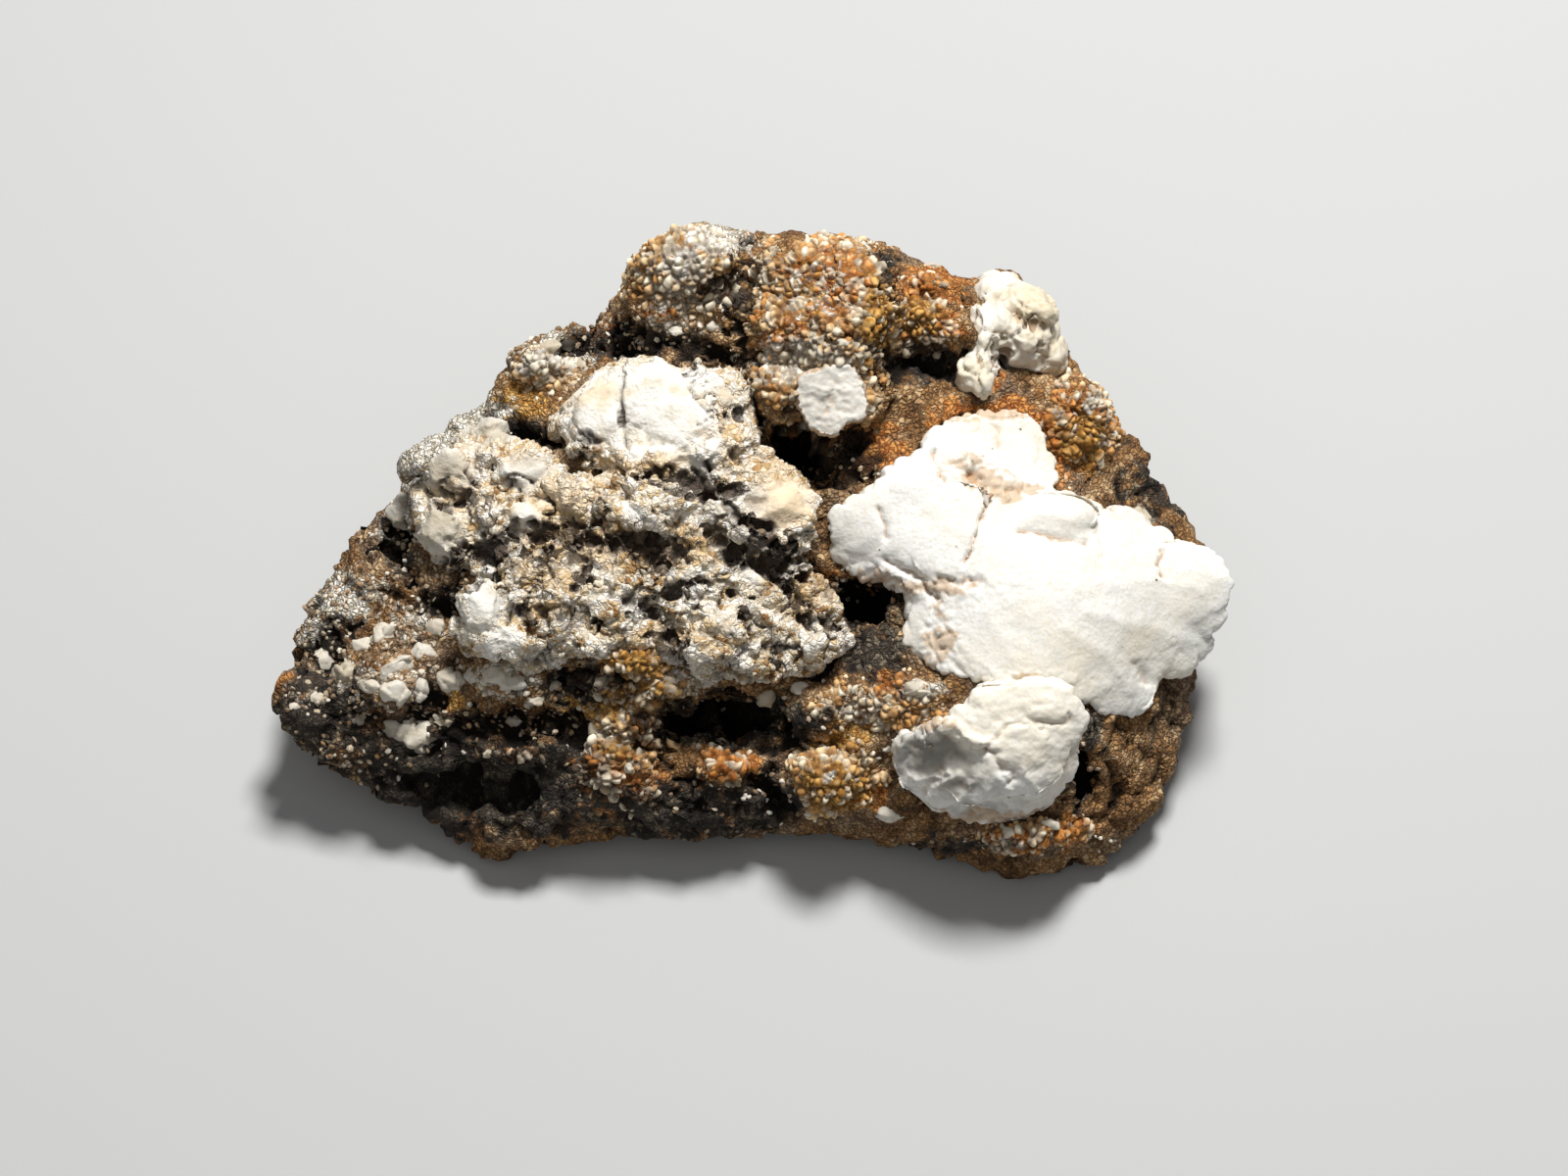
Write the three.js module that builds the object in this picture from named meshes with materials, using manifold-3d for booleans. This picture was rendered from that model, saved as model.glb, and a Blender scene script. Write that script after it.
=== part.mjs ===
// A hand-sized huntite specimen: white, porcelain-like huntite on a brown, knobbly host rock.
// Millimetres, +Z up. The specimen rests at z = 0 and the origin is on its resting flat.

import * as THREE from "three";
import { mergeVertices } from "three/addons/utils/BufferGeometryUtils.js";
import { ImprovedNoise } from "three/addons/math/ImprovedNoise.js";
import Module from "manifold-3d";

const wasm = await Module();
wasm.setup();

// The show face. Its plane leans back, and places on it are given as (across, up, out) in that plane:
// across runs to the right, up runs along the face, and out points away from the rock to the viewer.
const FACE_RAISE = THREE.MathUtils.degToRad(60); // how far above the horizon the face looks
const VIEW_DISTANCE = 450; // the face is drawn as seen from this far
const CENTRE_HEIGHT = 15; // of the face's centre above the table
const FACE_RISE = 10.5; // how far the face stands out from the rim, before its swells
const RIM_OUT = -1.5; // out value of the rim at the height of the centre
const RIM_LEAN = -0.09; // and how it changes for each millimetre up

// The underside
const BASE_CENTRE = new THREE.Vector3(4, 1, 0);
const BASE_DROP = 1.5; // the belly hangs this far below the table before it is cut flat
const UNDER_HOLLOW = 1.9; // how far the underside rises between the flat and the rim
const BELLY_REACH = 0.6; // exponent: lower makes steeper sides and a wider flat
const BELLY_FALL = 1.3; // exponent: higher keeps the sides upright for longer
const LIFT_FROM = -26; // to the left of this the underside is clear of the table
const LIFT_RATE = 0.42;

// Fitting and roughness
const SEAM = 0.3; // gap between a huntite mass and the pocket that holds it
const ROUGHNESS = 0.75; // height of the host rock's own unevenness
const ROUGHNESS_WAVE = 5.5; // and its wavelength

// The rock's rim as seen square to the face, anticlockwise from its left tip.
const RIM = [
  [-47.7, -18.6], [-45, -20.8], [-41, -23.5], [-37, -25.1], [-34, -26], [-31.5, -27.2], [-29, -29.6],
  [-26.8, -31.2], [-24.6, -31.5], [-21, -30.6], [-17, -29.8], [-10, -29.6], [0, -29.7], [8, -29.4],
  [14, -30.3], [20, -31.2], [24.5, -32.6], [30, -33.3], [34.5, -32.7], [38, -30.8], [40.7, -28.5],
  [43, -25.5], [44.1, -21], [45.3, -17.5], [45.7, -14], [47.5, -10], [48.9, -6.4], [49.1, -3.5],
  [47.8, -1], [45, 0.8], [42.8, 5], [40.3, 8.6], [37.3, 13], [36, 16.5], [33.5, 17.6], [32.4, 19.5],
  [31, 21.8], [31.5, 23.3], [30, 25.2], [26.8, 26.3], [25, 28.1], [21.5, 28.2], [18.5, 29.2],
  [15.6, 29.8], [14, 31.7], [11.5, 31.7], [8.5, 32], [3, 32.3], [0.8, 32.1], [-2, 33.3], [-6, 33],
  [-9.2, 31.5], [-11.4, 28.4], [-13.6, 25.4], [-16.5, 22.7], [-19.8, 21.7], [-23.2, 19.3],
  [-25, 16.2], [-28.5, 14.6], [-31.8, 11], [-33.6, 8], [-35.5, 6.2], [-38, 3.6], [-40.1, 0.6],
  [-42.6, -2.9], [-44.8, -5], [-45, -8.5], [-45.4, -11], [-46.6, -12.6], [-47.6, -15.2],
];

// Broad swells and dips of the face: where, how far they spread, and how far they rise.
const SWELLS = [
  { at: [30, -6], spread: [15, 12], rise: 4.5 },
  { at: [26, -21], spread: [9, 7], rise: 5 },
  { at: [-12, 2], spread: [18, 12], rise: 3.5 },
  { at: [4, 27], spread: [12, 8], rise: 5 },
  { at: [-38, -8], spread: [9, 10], rise: -2 },
  { at: [42, 8], spread: [8, 8], rise: -5 },
  { at: [-5, -18], spread: [14, 4], rise: -4 },
  { at: [14, -4], spread: [6, 5], rise: -3 },
];

// Lobes and knobs of the host rock: size is across, up and out from the centre, and lift raises the centre.
const KNOBS = [
  { at: [-5.6, 27.6], size: [6.2, 5, 6.5], lift: 0.5, detail: 2 },
  { at: [8, 23.8], size: [8.4, 8.3, 8.5], lift: -0.5, detail: 3 },
  { at: [8.2, 15.6], size: [6.6, 4.2, 6.8], lift: 1.2, detail: 2 },
  { at: [20, 22.5], size: [4.4, 5.4, 5], lift: -0.5, detail: 2 },
  { at: [33.4, 12.6], size: [4.2, 5, 4.5], lift: 0, detail: 1 },
  { at: [-20.5, 18.6], size: [4, 3, 4], lift: 0, detail: 1 },
  { at: [-41.6, -15.8], size: [5.6, 4.4, 5], lift: -1, detail: 1 },
  { at: [-34.5, -13], size: [6, 5, 4.5], lift: 0, detail: 1 },
  { at: [-22, -20.5], size: [6.4, 2.2, 4], lift: -0.6, detail: 1 },
  { at: [-12.6, -12.6], size: [4.6, 3.4, 4.4], lift: 0, detail: 1 },
  { at: [-11.8, -20.6], size: [4, 4.8, 4.6], lift: 0, detail: 1 },
  { at: [-6, -26], size: [8, 3.6, 5], lift: -0.8, detail: 1 },
  { at: [9.4, -24.4], size: [4.4, 3.6, 5], lift: -0.4, detail: 1 },
  { at: [8, -15.8], size: [4.2, 3.4, 4], lift: 0, detail: 1 },
  { at: [28, -29.6], size: [5, 2, 4.4], lift: 0.4, detail: 1 },
];

// Hollows in the host rock, each cut out with a lump of this size.
const HOLLOWS = [
  { at: [6.6, 10], size: [4.6, 2.6, 5.4], lift: 1.4, detail: 1 },
  { at: [12, -5.6], size: [4.4, 2.7, 4.6], lift: 0.8, detail: 1 },
  { at: [-2.4, -17.6], size: [7.2, 2.4, 5], lift: 0.8, detail: 1 },
  { at: [-28, -24.6], size: [8, 2.6, 4], lift: 1.5, detail: 1 },
  { at: [-35.4, 0.8], size: [2, 2.1, 3.4], lift: 0.6, detail: 1 },
  { at: [18.4, 19], size: [2.4, 2, 3.6], lift: 3.4, detail: 1 },
  { at: [33.9, -23.4], size: [1.5, 2.8, 3], lift: 0.6, detail: 1 },
];

// Huntite masses: cushions over an outline that stand proud and reach into the rock, and lumps grown on them.
const MAIN_MASS = {
  cushions: [
    {
      centre: [33, -6], proud: 1.9, sunk: 3, detail: 4,
      outline: [
        [48.9, -3.9], [48.7, -5.8], [47.3, -8.5], [47, -10.9], [44, -12.8], [41.6, -13.1], [41.3, -15],
        [40.6, -16.5], [39.2, -17.2], [37.9, -16.5], [34.8, -15.4], [29.4, -13.9], [26, -13.6],
        [20, -12.2], [16.9, -11.9], [16.2, -9.2], [16.6, -6.5], [18, -4], [21, -1.5], [23.4, 2], [26, 5],
        [30, 5.6], [34.2, 5], [38.2, 2.9], [39.6, 2.6], [41.9, 1.2], [42.8, -0.7], [44.4, -0.4],
        [46, 0], [47.7, -1.5],
      ],
    },
    {
      centre: [17.5, 2.5], proud: 2.5, sunk: 2.6, detail: 2,
      outline: [
        [8.1, 1], [9.1, 2.3], [10.6, 4.9], [13, 5.6], [14.4, 7.8], [15.9, 9], [17.9, 9.5], [22, 8.6],
        [24, 6], [23.6, 2], [22, -2], [19.6, -5], [16.9, -5.4], [15.2, -3.4], [12.6, -2.9],
        [10.1, -2.1], [8.8, -0.4],
      ],
    },
    {
      centre: [25, 9], proud: 1.6, sunk: 2.4, detail: 2,
      outline: [
        [17.4, 9.4], [19.3, 12], [21.5, 13], [24.7, 13.6], [28.7, 13.4], [30.1, 11.3], [30.9, 8.4],
        [30.6, 6], [27, 4.6], [22, 4.6], [18.6, 6.4],
      ],
    },
  ],
  lumps: [
    { at: [31.6, 3.7], size: [4.3, 1.9, 2.1], lift: 2.8, detail: 1 },
    { at: [45, -4], size: [3.6, 3.6, 2.1], lift: 2.2, detail: 1 },
  ],
};
const LOWER_MASS = {
  cushions: [
    {
      centre: [25.5, -21], proud: 2.2, sunk: 3, detail: 3,
      outline: [
        [34.5, -16.2], [33.8, -18.3], [32.8, -20], [33, -22.5], [31.4, -24.4], [29.4, -26.1], [28, -27.3],
        [25, -27.6], [23.7, -27.2], [21, -26.8], [17.9, -25.4], [16.6, -24.2], [15.7, -22.5],
        [15.6, -20.7], [16.8, -19.6], [19.3, -18.7], [21.5, -17.5], [22.8, -16.2], [23.8, -14.2],
        [26, -13.2], [29.4, -13.2], [33.2, -14.2],
      ],
    },
  ],
  lumps: [
    { at: [30, -17], size: [4.2, 2.2, 2.1], lift: 2.4, detail: 1 },
  ],
};
const GRANULAR_CRUST = {
  cushions: [
    {
      centre: [-8, -4], proud: 1.4, sunk: 2.2, detail: 3,
      outline: [
        [-20, 4], [-14, 7.6], [-6, 8.4], [0, 5], [4.6, 1], [8, -3.5], [10, -6.5], [11, -9], [10, -12],
        [6, -13.6], [2, -12.6], [-3, -13.4], [-7, -12], [-10, -9.5], [-14, -9.4], [-17, -11.5],
        [-21, -12.8], [-25, -12], [-28.5, -9.5], [-29.4, -6.5], [-28, -4], [-25, -1],
      ],
    },
    {
      centre: [-8, 13], proud: 2.4, sunk: 2.4, detail: 2,
      outline: [
        [-18.5, 12], [-20, 13.5], [-17, 16], [-14, 18.5], [-12, 19.4], [-9.5, 19.4], [-7, 18.2],
        [-4, 18], [-1.5, 18.5], [0.2, 16.5], [1, 13.5], [1.8, 10.5], [0, 8], [-3, 7], [-7, 6.5],
        [-11, 7.5], [-15, 9], [-18, 10.5],
      ],
    },
    {
      centre: [1, 4], proud: 2.6, sunk: 2, detail: 2,
      outline: [
        [-4, 8], [0, 9.4], [3, 8.8], [6, 7], [7, 4.5], [6.6, 2], [5, -0.4], [2, -1], [-2, 0], [-5, 3],
      ],
    },
    {
      centre: [-27, 6], proud: 1.8, sunk: 2.2, detail: 2,
      outline: [
        [-33.4, 2], [-33.8, 5], [-31, 9], [-28, 12.4], [-25.5, 11.8], [-21.6, 10.6], [-18, 8],
        [-17, 4], [-19, 1], [-24, -1.5], [-28, -2.5], [-31, -1],
      ],
    },
  ],
  lumps: [
    { at: [-24.4, -6.6], size: [4.4, 3.8, 2.1], lift: 2.2, detail: 1 },
    { at: [-29.6, 8], size: [3.4, 3.2, 2.1], lift: 2.4, detail: 1 },
    { at: [-2.4, -9.4], size: [5, 3, 2.1], lift: 2, detail: 1 },
    { at: [-8.4, 4.8], size: [4.6, 2.4, 2.1], lift: 2.4, detail: 1 },
  ],
};
const CLEAVED_CHIP = {
  cushions: [
    {
      centre: [8.8, 14.8], proud: 0.9, sunk: 3.4, detail: 2, lift: 4.2,
      outline: [
        [5.4, 17], [5.4, 15.6], [6.1, 13.8], [7.1, 12.4], [9, 11.6], [9.9, 13], [12, 13.5], [12, 16],
        [10.8, 18.4], [8, 18],
      ],
    },
  ],
  lumps: [],
};
// The upper right knob is a cluster of grown-together white lumps.
const UPPER_KNOB = {
  cushions: [],
  lumps: [
    { at: [28.6, 22.6], size: [3.4, 4.2, 4], lift: 1, detail: 2 },
    { at: [26, 26.2], size: [2.4, 2, 3], lift: 0.8, detail: 1 },
    { at: [30.6, 19.8], size: [2.2, 2.3, 3], lift: 1, detail: 1 },
    { at: [24.6, 22], size: [1.6, 3.4, 2.4], lift: 1, detail: 1 },
    { at: [24, 18.2], size: [1.9, 2.2, 2.4], lift: 1, detail: 1 },
  ],
};

const STONE = new THREE.MeshStandardMaterial({ color: "#7a5233", roughness: 0.95, metalness: 0 });
const HUNTITE = new THREE.MeshStandardMaterial({ color: "#efeae0", roughness: 0.7, metalness: 0 });
const CRUST = new THREE.MeshStandardMaterial({ color: "#d8cdb9", roughness: 0.85, metalness: 0 });

const across = new THREE.Vector3(1, 0, 0);
const upFace = new THREE.Vector3(0, Math.sin(FACE_RAISE), Math.cos(FACE_RAISE));
const outFace = new THREE.Vector3(0, -Math.cos(FACE_RAISE), Math.sin(FACE_RAISE));
const noise = new ImprovedNoise();

// A place on or near the face, in the specimen's own frame.
function place(u, v, out) {
  const nearer = 1 - out / VIEW_DISTANCE;
  return new THREE.Vector3(0, 0, CENTRE_HEIGHT)
    .addScaledVector(across, u * nearer)
    .addScaledVector(upFace, v * nearer)
    .addScaledVector(outFace, out);
}

// The distance from a centre to a closed smooth outline, as a function of the angle.
function reachOf(centre, outline) {
  const points = outline.map(([u, v]) => new THREE.Vector3(u - centre[0], v - centre[1], 0));
  const curve = new THREE.CatmullRomCurve3(points, true, "centripetal");
  const bins = 360;
  const reach = new Float64Array(bins);
  for (const p of curve.getPoints(bins * 12)) {
    const bin = Math.floor(((Math.atan2(p.y, p.x) / (2 * Math.PI) + 1) % 1) * bins);
    reach[bin] = Math.max(reach[bin], Math.hypot(p.x, p.y));
  }
  return (angle) => {
    const at = ((angle / (2 * Math.PI) + 1) % 1) * bins - 0.5;
    const low = Math.floor(at);
    const share = at - low;
    return reach[(low + bins) % bins] * (1 - share) + reach[(low + 1) % bins] * share;
  };
}

const rimReach = reachOf([0, 0], RIM);
const rimOut = (v) => RIM_OUT + RIM_LEAN * v;

// How far out the host rock's face lies at a place on it.
function faceOut(u, v) {
  const share = Math.min(1, Math.hypot(u, v) / rimReach(Math.atan2(v, u)));
  let rise = FACE_RISE;
  for (const { at, spread, rise: height } of SWELLS) {
    rise += height * Math.exp(-(((u - at[0]) / spread[0]) ** 2) - ((v - at[1]) / spread[1]) ** 2);
  }
  return rimOut(v) + rise * Math.sqrt(1 - share ** 4);
}

// A closed geometry made by sending every direction of a sphere to a point.
function shaped(detail, toPoint) {
  const geometry = new THREE.IcosahedronGeometry(1, detail);
  const position = geometry.attributes.position;
  const direction = new THREE.Vector3();
  for (let i = 0; i < position.count; i += 1) {
    direction.fromBufferAttribute(position, i).normalize();
    position.setXYZ(i, ...toPoint(direction).toArray());
  }
  geometry.deleteAttribute("normal");
  geometry.deleteAttribute("uv");
  return mergeVertices(geometry, 1e-4);
}

function solidOf(geometry) {
  return new wasm.Manifold(
    new wasm.Mesh({
      numProp: 3,
      vertProperties: new Float32Array(geometry.attributes.position.array),
      triVerts: new Uint32Array(geometry.index.array),
    }),
  );
}

function meshOf(name, solid, material) {
  const { vertProperties, triVerts } = solid.getMesh();
  const geometry = new THREE.BufferGeometry();
  geometry.setAttribute("position", new THREE.BufferAttribute(new Float32Array(vertProperties), 3));
  geometry.setIndex(new THREE.BufferAttribute(new Uint32Array(triVerts), 1));
  geometry.computeVertexNormals();
  const mesh = new THREE.Mesh(geometry, material);
  mesh.name = name;
  return mesh;
}

function unevenness(p, height, wave) {
  return height * 2 * noise.noise(p.x / wave + 7.3, p.y / wave + 2.1, p.z / wave + 4.7);
}

// One rounded, slightly uneven lump set into the face, grown all round by a margin if one is given.
function lump({ at, size, lift, detail }, grow) {
  const middle = faceOut(at[0], at[1]) + lift - size[2] / 2;
  const half = size.map((one) => one + grow);
  return solidOf(
    shaped(detail, (d) => {
      const uneven = 1 + unevenness(d.clone().multiplyScalar(6).addScalar(at[0] + at[1]), 0.14, 5);
      const u = at[0] + d.x * half[0] * uneven;
      const v = at[1] + d.y * half[1] * uneven;
      return place(u, v, middle + d.z * half[2] * uneven);
    }),
  );
}

// The bare body of the rock: a domed face, and below the rim a belly that comes down to the table.
function body() {
  return solidOf(
    shaped(7, (d) => {
      const angle = Math.atan2(d.y, d.x);
      const share = Math.hypot(d.x, d.y);
      const reach = rimReach(angle);
      const rim = [reach * Math.cos(angle), reach * Math.sin(angle)];
      if (d.z >= 0) {
        const [u, v] = [rim[0] * share, rim[1] * share];
        const p = place(u, v, faceOut(u, v));
        return place(u, v, faceOut(u, v) + unevenness(p, ROUGHNESS, ROUGHNESS_WAVE) * d.z);
      }
      const edge = place(rim[0], rim[1], rimOut(rim[1]));
      const under = -d.z;
      const p = edge.clone().sub(BASE_CENTRE).multiplyScalar(share ** BELLY_REACH).add(BASE_CENTRE);
      const lift = LIFT_RATE * Math.max(0, LIFT_FROM - p.x);
      const hollow = 4 * UNDER_HOLLOW * under * (1 - under);
      p.z = edge.z * (1 - under ** BELLY_FALL) + (lift - BASE_DROP) * under + hollow;
      return p.addScaledVector(outFace, -unevenness(p, ROUGHNESS, ROUGHNESS_WAVE) * under);
    }),
  );
}

// A cushion over an outline on the face: rounded at its edge, with its lower half set in the rock.
function cushion({ centre, outline, proud, sunk, detail, lift = 0 }, grow) {
  const reachAt = reachOf(centre, outline);
  return solidOf(
    shaped(detail, (d) => {
      const angle = Math.atan2(d.y, d.x);
      const reach = (reachAt(angle) + grow) * Math.hypot(d.x, d.y);
      const u = centre[0] + reach * Math.cos(angle);
      const v = centre[1] + reach * Math.sin(angle);
      const thick = (d.z > 0 ? proud : sunk) + grow;
      const round = Math.sign(d.z) * Math.sqrt(Math.max(0, 1 - Math.hypot(d.x, d.y) ** 6));
      return place(u, v, faceOut(u, v) + lift + round * thick);
    }),
  );
}

function massOf({ cushions, lumps }) {
  return joined([...cushions.map((one) => cushion(one, 0)), ...lumps.map((one) => lump(one, 0))]);
}

// The pocket that holds a mass. Lumps grown on a cushion stay above the pocket's floor, so they don't shape it.
function pocketOf({ cushions, lumps }) {
  return joined(cushions.length ? cushions.map((one) => cushion(one, SEAM)) : lumps.map((one) => lump(one, SEAM)));
}

function joined(solids) {
  return solids.reduce((whole, one) => whole.add(one));
}

function floorBlock() {
  const block = new THREE.BoxGeometry(200, 200, 40);
  block.translate(0, 0, -20);
  block.deleteAttribute("normal");
  block.deleteAttribute("uv");
  return solidOf(mergeVertices(block));
}

const MASSES = [
  ["huntite_main_mass", MAIN_MASS, HUNTITE],
  ["huntite_lower_mass", LOWER_MASS, HUNTITE],
  ["huntite_granular_crust", GRANULAR_CRUST, CRUST],
  ["huntite_upper_knob", UPPER_KNOB, HUNTITE],
  ["huntite_cleaved_chip", CLEAVED_CHIP, HUNTITE],
];

const specimen = new THREE.Group();
const hollows = joined(HOLLOWS.map((one) => lump(one, 0)));
let rock = joined([body(), ...KNOBS.map((one) => lump(one, 0))]).subtract(hollows).subtract(floorBlock());
let taken = hollows;
for (const [name, mass, material] of MASSES) {
  specimen.add(meshOf(name, massOf(mass).subtract(taken), material));
  const pocket = pocketOf(mass);
  rock = rock.subtract(pocket);
  taken = taken.add(pocket);
}
specimen.add(meshOf("matrix_rock", rock, STONE));

export default specimen;
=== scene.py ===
# %% [markdown]
# # A huntite specimen
# Huntite is a white carbonate mineral as fine as porcelain clay. This specimen carries it on a brown host
# rock that iron has stained, with rounded grains of about a millimetre all over. The faceted solids give
# the stone its masses. This lesson grows the grains, folds and stains on them. The object's own frame has
# +Z up and its origin on the flat that the stone rests on.

import math

import bpy
import numpy as np
from mathutils import Matrix, Vector
from mathutils.bvhtree import BVHTree


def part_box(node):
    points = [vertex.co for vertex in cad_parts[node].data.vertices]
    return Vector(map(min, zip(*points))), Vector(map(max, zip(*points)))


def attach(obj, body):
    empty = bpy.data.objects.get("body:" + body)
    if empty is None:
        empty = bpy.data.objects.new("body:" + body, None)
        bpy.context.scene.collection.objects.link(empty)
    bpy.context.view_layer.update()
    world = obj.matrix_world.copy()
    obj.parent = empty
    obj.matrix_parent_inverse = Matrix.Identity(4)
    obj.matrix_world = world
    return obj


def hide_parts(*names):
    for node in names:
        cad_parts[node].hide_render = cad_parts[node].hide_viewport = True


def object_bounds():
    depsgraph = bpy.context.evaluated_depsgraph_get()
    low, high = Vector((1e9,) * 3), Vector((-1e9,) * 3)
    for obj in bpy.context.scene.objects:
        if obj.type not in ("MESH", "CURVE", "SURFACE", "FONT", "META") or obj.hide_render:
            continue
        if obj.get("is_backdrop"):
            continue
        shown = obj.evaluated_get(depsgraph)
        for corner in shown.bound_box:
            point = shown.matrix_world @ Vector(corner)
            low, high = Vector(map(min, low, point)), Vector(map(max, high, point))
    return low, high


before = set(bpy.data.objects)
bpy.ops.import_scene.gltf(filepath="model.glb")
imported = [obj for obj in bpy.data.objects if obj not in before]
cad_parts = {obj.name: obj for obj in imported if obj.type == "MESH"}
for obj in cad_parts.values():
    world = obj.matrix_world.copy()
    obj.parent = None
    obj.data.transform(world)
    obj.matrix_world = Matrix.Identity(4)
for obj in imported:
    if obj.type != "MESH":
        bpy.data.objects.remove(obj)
solid_low, solid_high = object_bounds()
MM = 0.001
print("solids:", sorted(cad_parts))
print("box in mm:", [round(s / MM, 1) for s in solid_high - solid_low])

# %% [markdown]
# ## Places on the show face
# The stone is looked at from 60 degrees above the horizon, square to its show face. Every lump and stain
# is placed as (x, y) on that view, ten units to a millimetre, so one pair of functions turns a place on
# the view into a place in space and back. A place is found by sending a ray from the eye until it meets
# the solids.

# %% The view
FACE_RAISE = math.radians(60)
ACROSS = Vector((1, 0, 0))
UP = Vector((0, math.sin(FACE_RAISE), math.cos(FACE_RAISE)))
OUT = Vector((0, -math.cos(FACE_RAISE), math.sin(FACE_RAISE)))
FACE_CENTRE = Vector((0, 0, 15 * MM))
DISTANCE = 450 * MM
EYE = FACE_CENTRE + OUT * DISTANCE
VIEW_CENTRE = (760, 560)
VIEW_WIDE, VIEW_HIGH = 1600, 1200
UNITS = 10000  # of the view to a metre


def through(x, y):
    """The direction from the eye through a place on the view."""
    u, v = (x - VIEW_CENTRE[0]) / UNITS, (VIEW_CENTRE[1] - y) / UNITS
    return (FACE_CENTRE + u * ACROSS + v * UP - EYE).normalized()


def on_view(points):
    """Where points, one a row, appear on the view."""
    d = points - np.array(FACE_CENTRE)
    nearer = 1 - d @ np.array(OUT) / DISTANCE
    x = VIEW_CENTRE[0] + d @ np.array(ACROSS) / nearer * UNITS
    y = VIEW_CENTRE[1] - d @ np.array(UP) / nearer * UNITS
    return np.stack([x, y], axis=1)


def surface_of(*pieces):
    """A tree of the pieces' faces, for finding where a ray meets them."""
    points, faces = [], []
    for piece in pieces:
        first = len(points)
        points += [v.co.copy() for v in piece.data.vertices]
        faces += [[first + i for i in p.vertices] for p in piece.data.polygons]
    return BVHTree.FromPolygons(points, faces)


solids = surface_of(*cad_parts.values())
print("the face's centre is met at", solids.ray_cast(EYE, through(*VIEW_CENTRE))[0])

# %% [markdown]
# The camera stands at the eye, 45 centimetres off, and looks down at the face. The lens is worked out so
# that ten units of the view are one millimetre at the face's centre, and the shift sets the stone off
# centre in the frame.

# %% Camera
bpy.ops.object.camera_add(location=EYE, rotation=(math.radians(90) - FACE_RAISE, 0, 0))
camera = bpy.context.object
camera.data.sensor_width = 36
camera.data.lens = camera.data.sensor_width * DISTANCE * UNITS / VIEW_WIDE
camera.data.shift_x = (VIEW_WIDE / 2 - VIEW_CENTRE[0]) / VIEW_WIDE
camera.data.shift_y = (VIEW_CENTRE[1] - VIEW_HIGH / 2) / VIEW_WIDE
camera.data.clip_start = 0.01
bpy.context.scene.camera = camera
print("lens", round(camera.data.lens, 2), "mm")

# %% [markdown]
# ## Tools for shaping
# A modifier is added and applied in one step. The copies of the solids are made of loose triangles, so
# each is merged first. A voxel remesh then turns masses that cross each other into one even skin, which
# is how real lumps grow together, and a smoothing pass takes the facets off.


# %% Modifiers and copies
def only(piece):
    """Selects one piece and nothing else."""
    bpy.ops.object.select_all(action="DESELECT")
    piece.select_set(True)
    bpy.context.view_layer.objects.active = piece
    return piece


def apply(piece, kind, **settings):
    """Adds a modifier of a kind with its settings, and applies it."""
    only(piece)
    modifier = piece.modifiers.new(kind.title(), kind)
    for name, value in settings.items():
        setattr(modifier, name, value)
    bpy.ops.object.modifier_apply(modifier=modifier.name)
    return piece


def copy_of(node, name):
    """A merged copy of a solid, with no finish and no parent."""
    piece = bpy.data.objects.new(name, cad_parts[node].data.copy())
    bpy.context.collection.objects.link(piece)
    piece.data.name = name
    piece.data.materials.clear()
    only(piece)
    bpy.ops.object.mode_set(mode="EDIT")
    bpy.ops.mesh.select_all(action="SELECT")
    bpy.ops.mesh.remove_doubles(threshold=1e-6)
    bpy.ops.object.mode_set(mode="OBJECT")
    return piece


def twin_of(piece, name):
    """A copy of a piece with its own mesh and attributes."""
    twin = piece.copy()
    twin.data = piece.data.copy()
    twin.name = twin.data.name = name
    bpy.context.collection.objects.link(twin)
    return twin


def join(pieces, name):
    """Joins pieces into the first."""
    only(pieces[0])
    for piece in pieces:
        piece.select_set(True)
    bpy.ops.object.join()
    pieces[0].name = pieces[0].data.name = name
    return pieces[0]


def skin(piece, voxel, passes):
    """One even skin over everything in the piece, smoothed by some passes."""
    apply(piece, "REMESH", mode="VOXEL", voxel_size=voxel * MM, use_smooth_shade=True)
    return apply(piece, "SMOOTH", factor=0.5, iterations=passes)


def triangles_of(piece):
    """How many triangles a piece's faces make."""
    return sum(len(p.vertices) - 2 for p in piece.data.polygons)


def without_crumbs(piece):
    """Drops the loose crumbs that a skin leaves, and keeps the largest part."""
    name = only(piece).name
    bpy.ops.mesh.separate(type="LOOSE")
    parts = sorted(bpy.context.selected_objects, key=lambda part: -len(part.data.vertices))
    for crumb in parts[1:]:
        bpy.data.objects.remove(crumb)
    parts[0].name = parts[0].data.name = name
    return parts[0]


def in_box(piece, spare=1.0):
    """Keeps a piece within the solids' box and some spare millimetres round it, and off the floor."""
    spare = np.array([spare * MM] * 3)
    points = np.clip(points_of(piece), np.array(solid_low) - spare, np.array(solid_high) + spare)
    points[:, 2] = np.maximum(points[:, 2], 0)
    move_points(piece, points)


def points_of(piece):
    """The places of a piece's points, one a row."""
    points = np.zeros(len(piece.data.vertices) * 3, np.float32)
    piece.data.vertices.foreach_get("co", points)
    return points.reshape(-1, 3).astype(float)


def normals_of(piece):
    """The outward directions at a piece's points, one a row."""
    normals = np.zeros(len(piece.data.vertices) * 3, np.float32)
    piece.data.vertex_normals.foreach_get("vector", normals)
    return normals.reshape(-1, 3).astype(float)


def move_points(piece, points):
    """Puts a piece's points in new places."""
    piece.data.vertices.foreach_set("co", points.astype(np.float32).ravel())
    piece.data.update()
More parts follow.
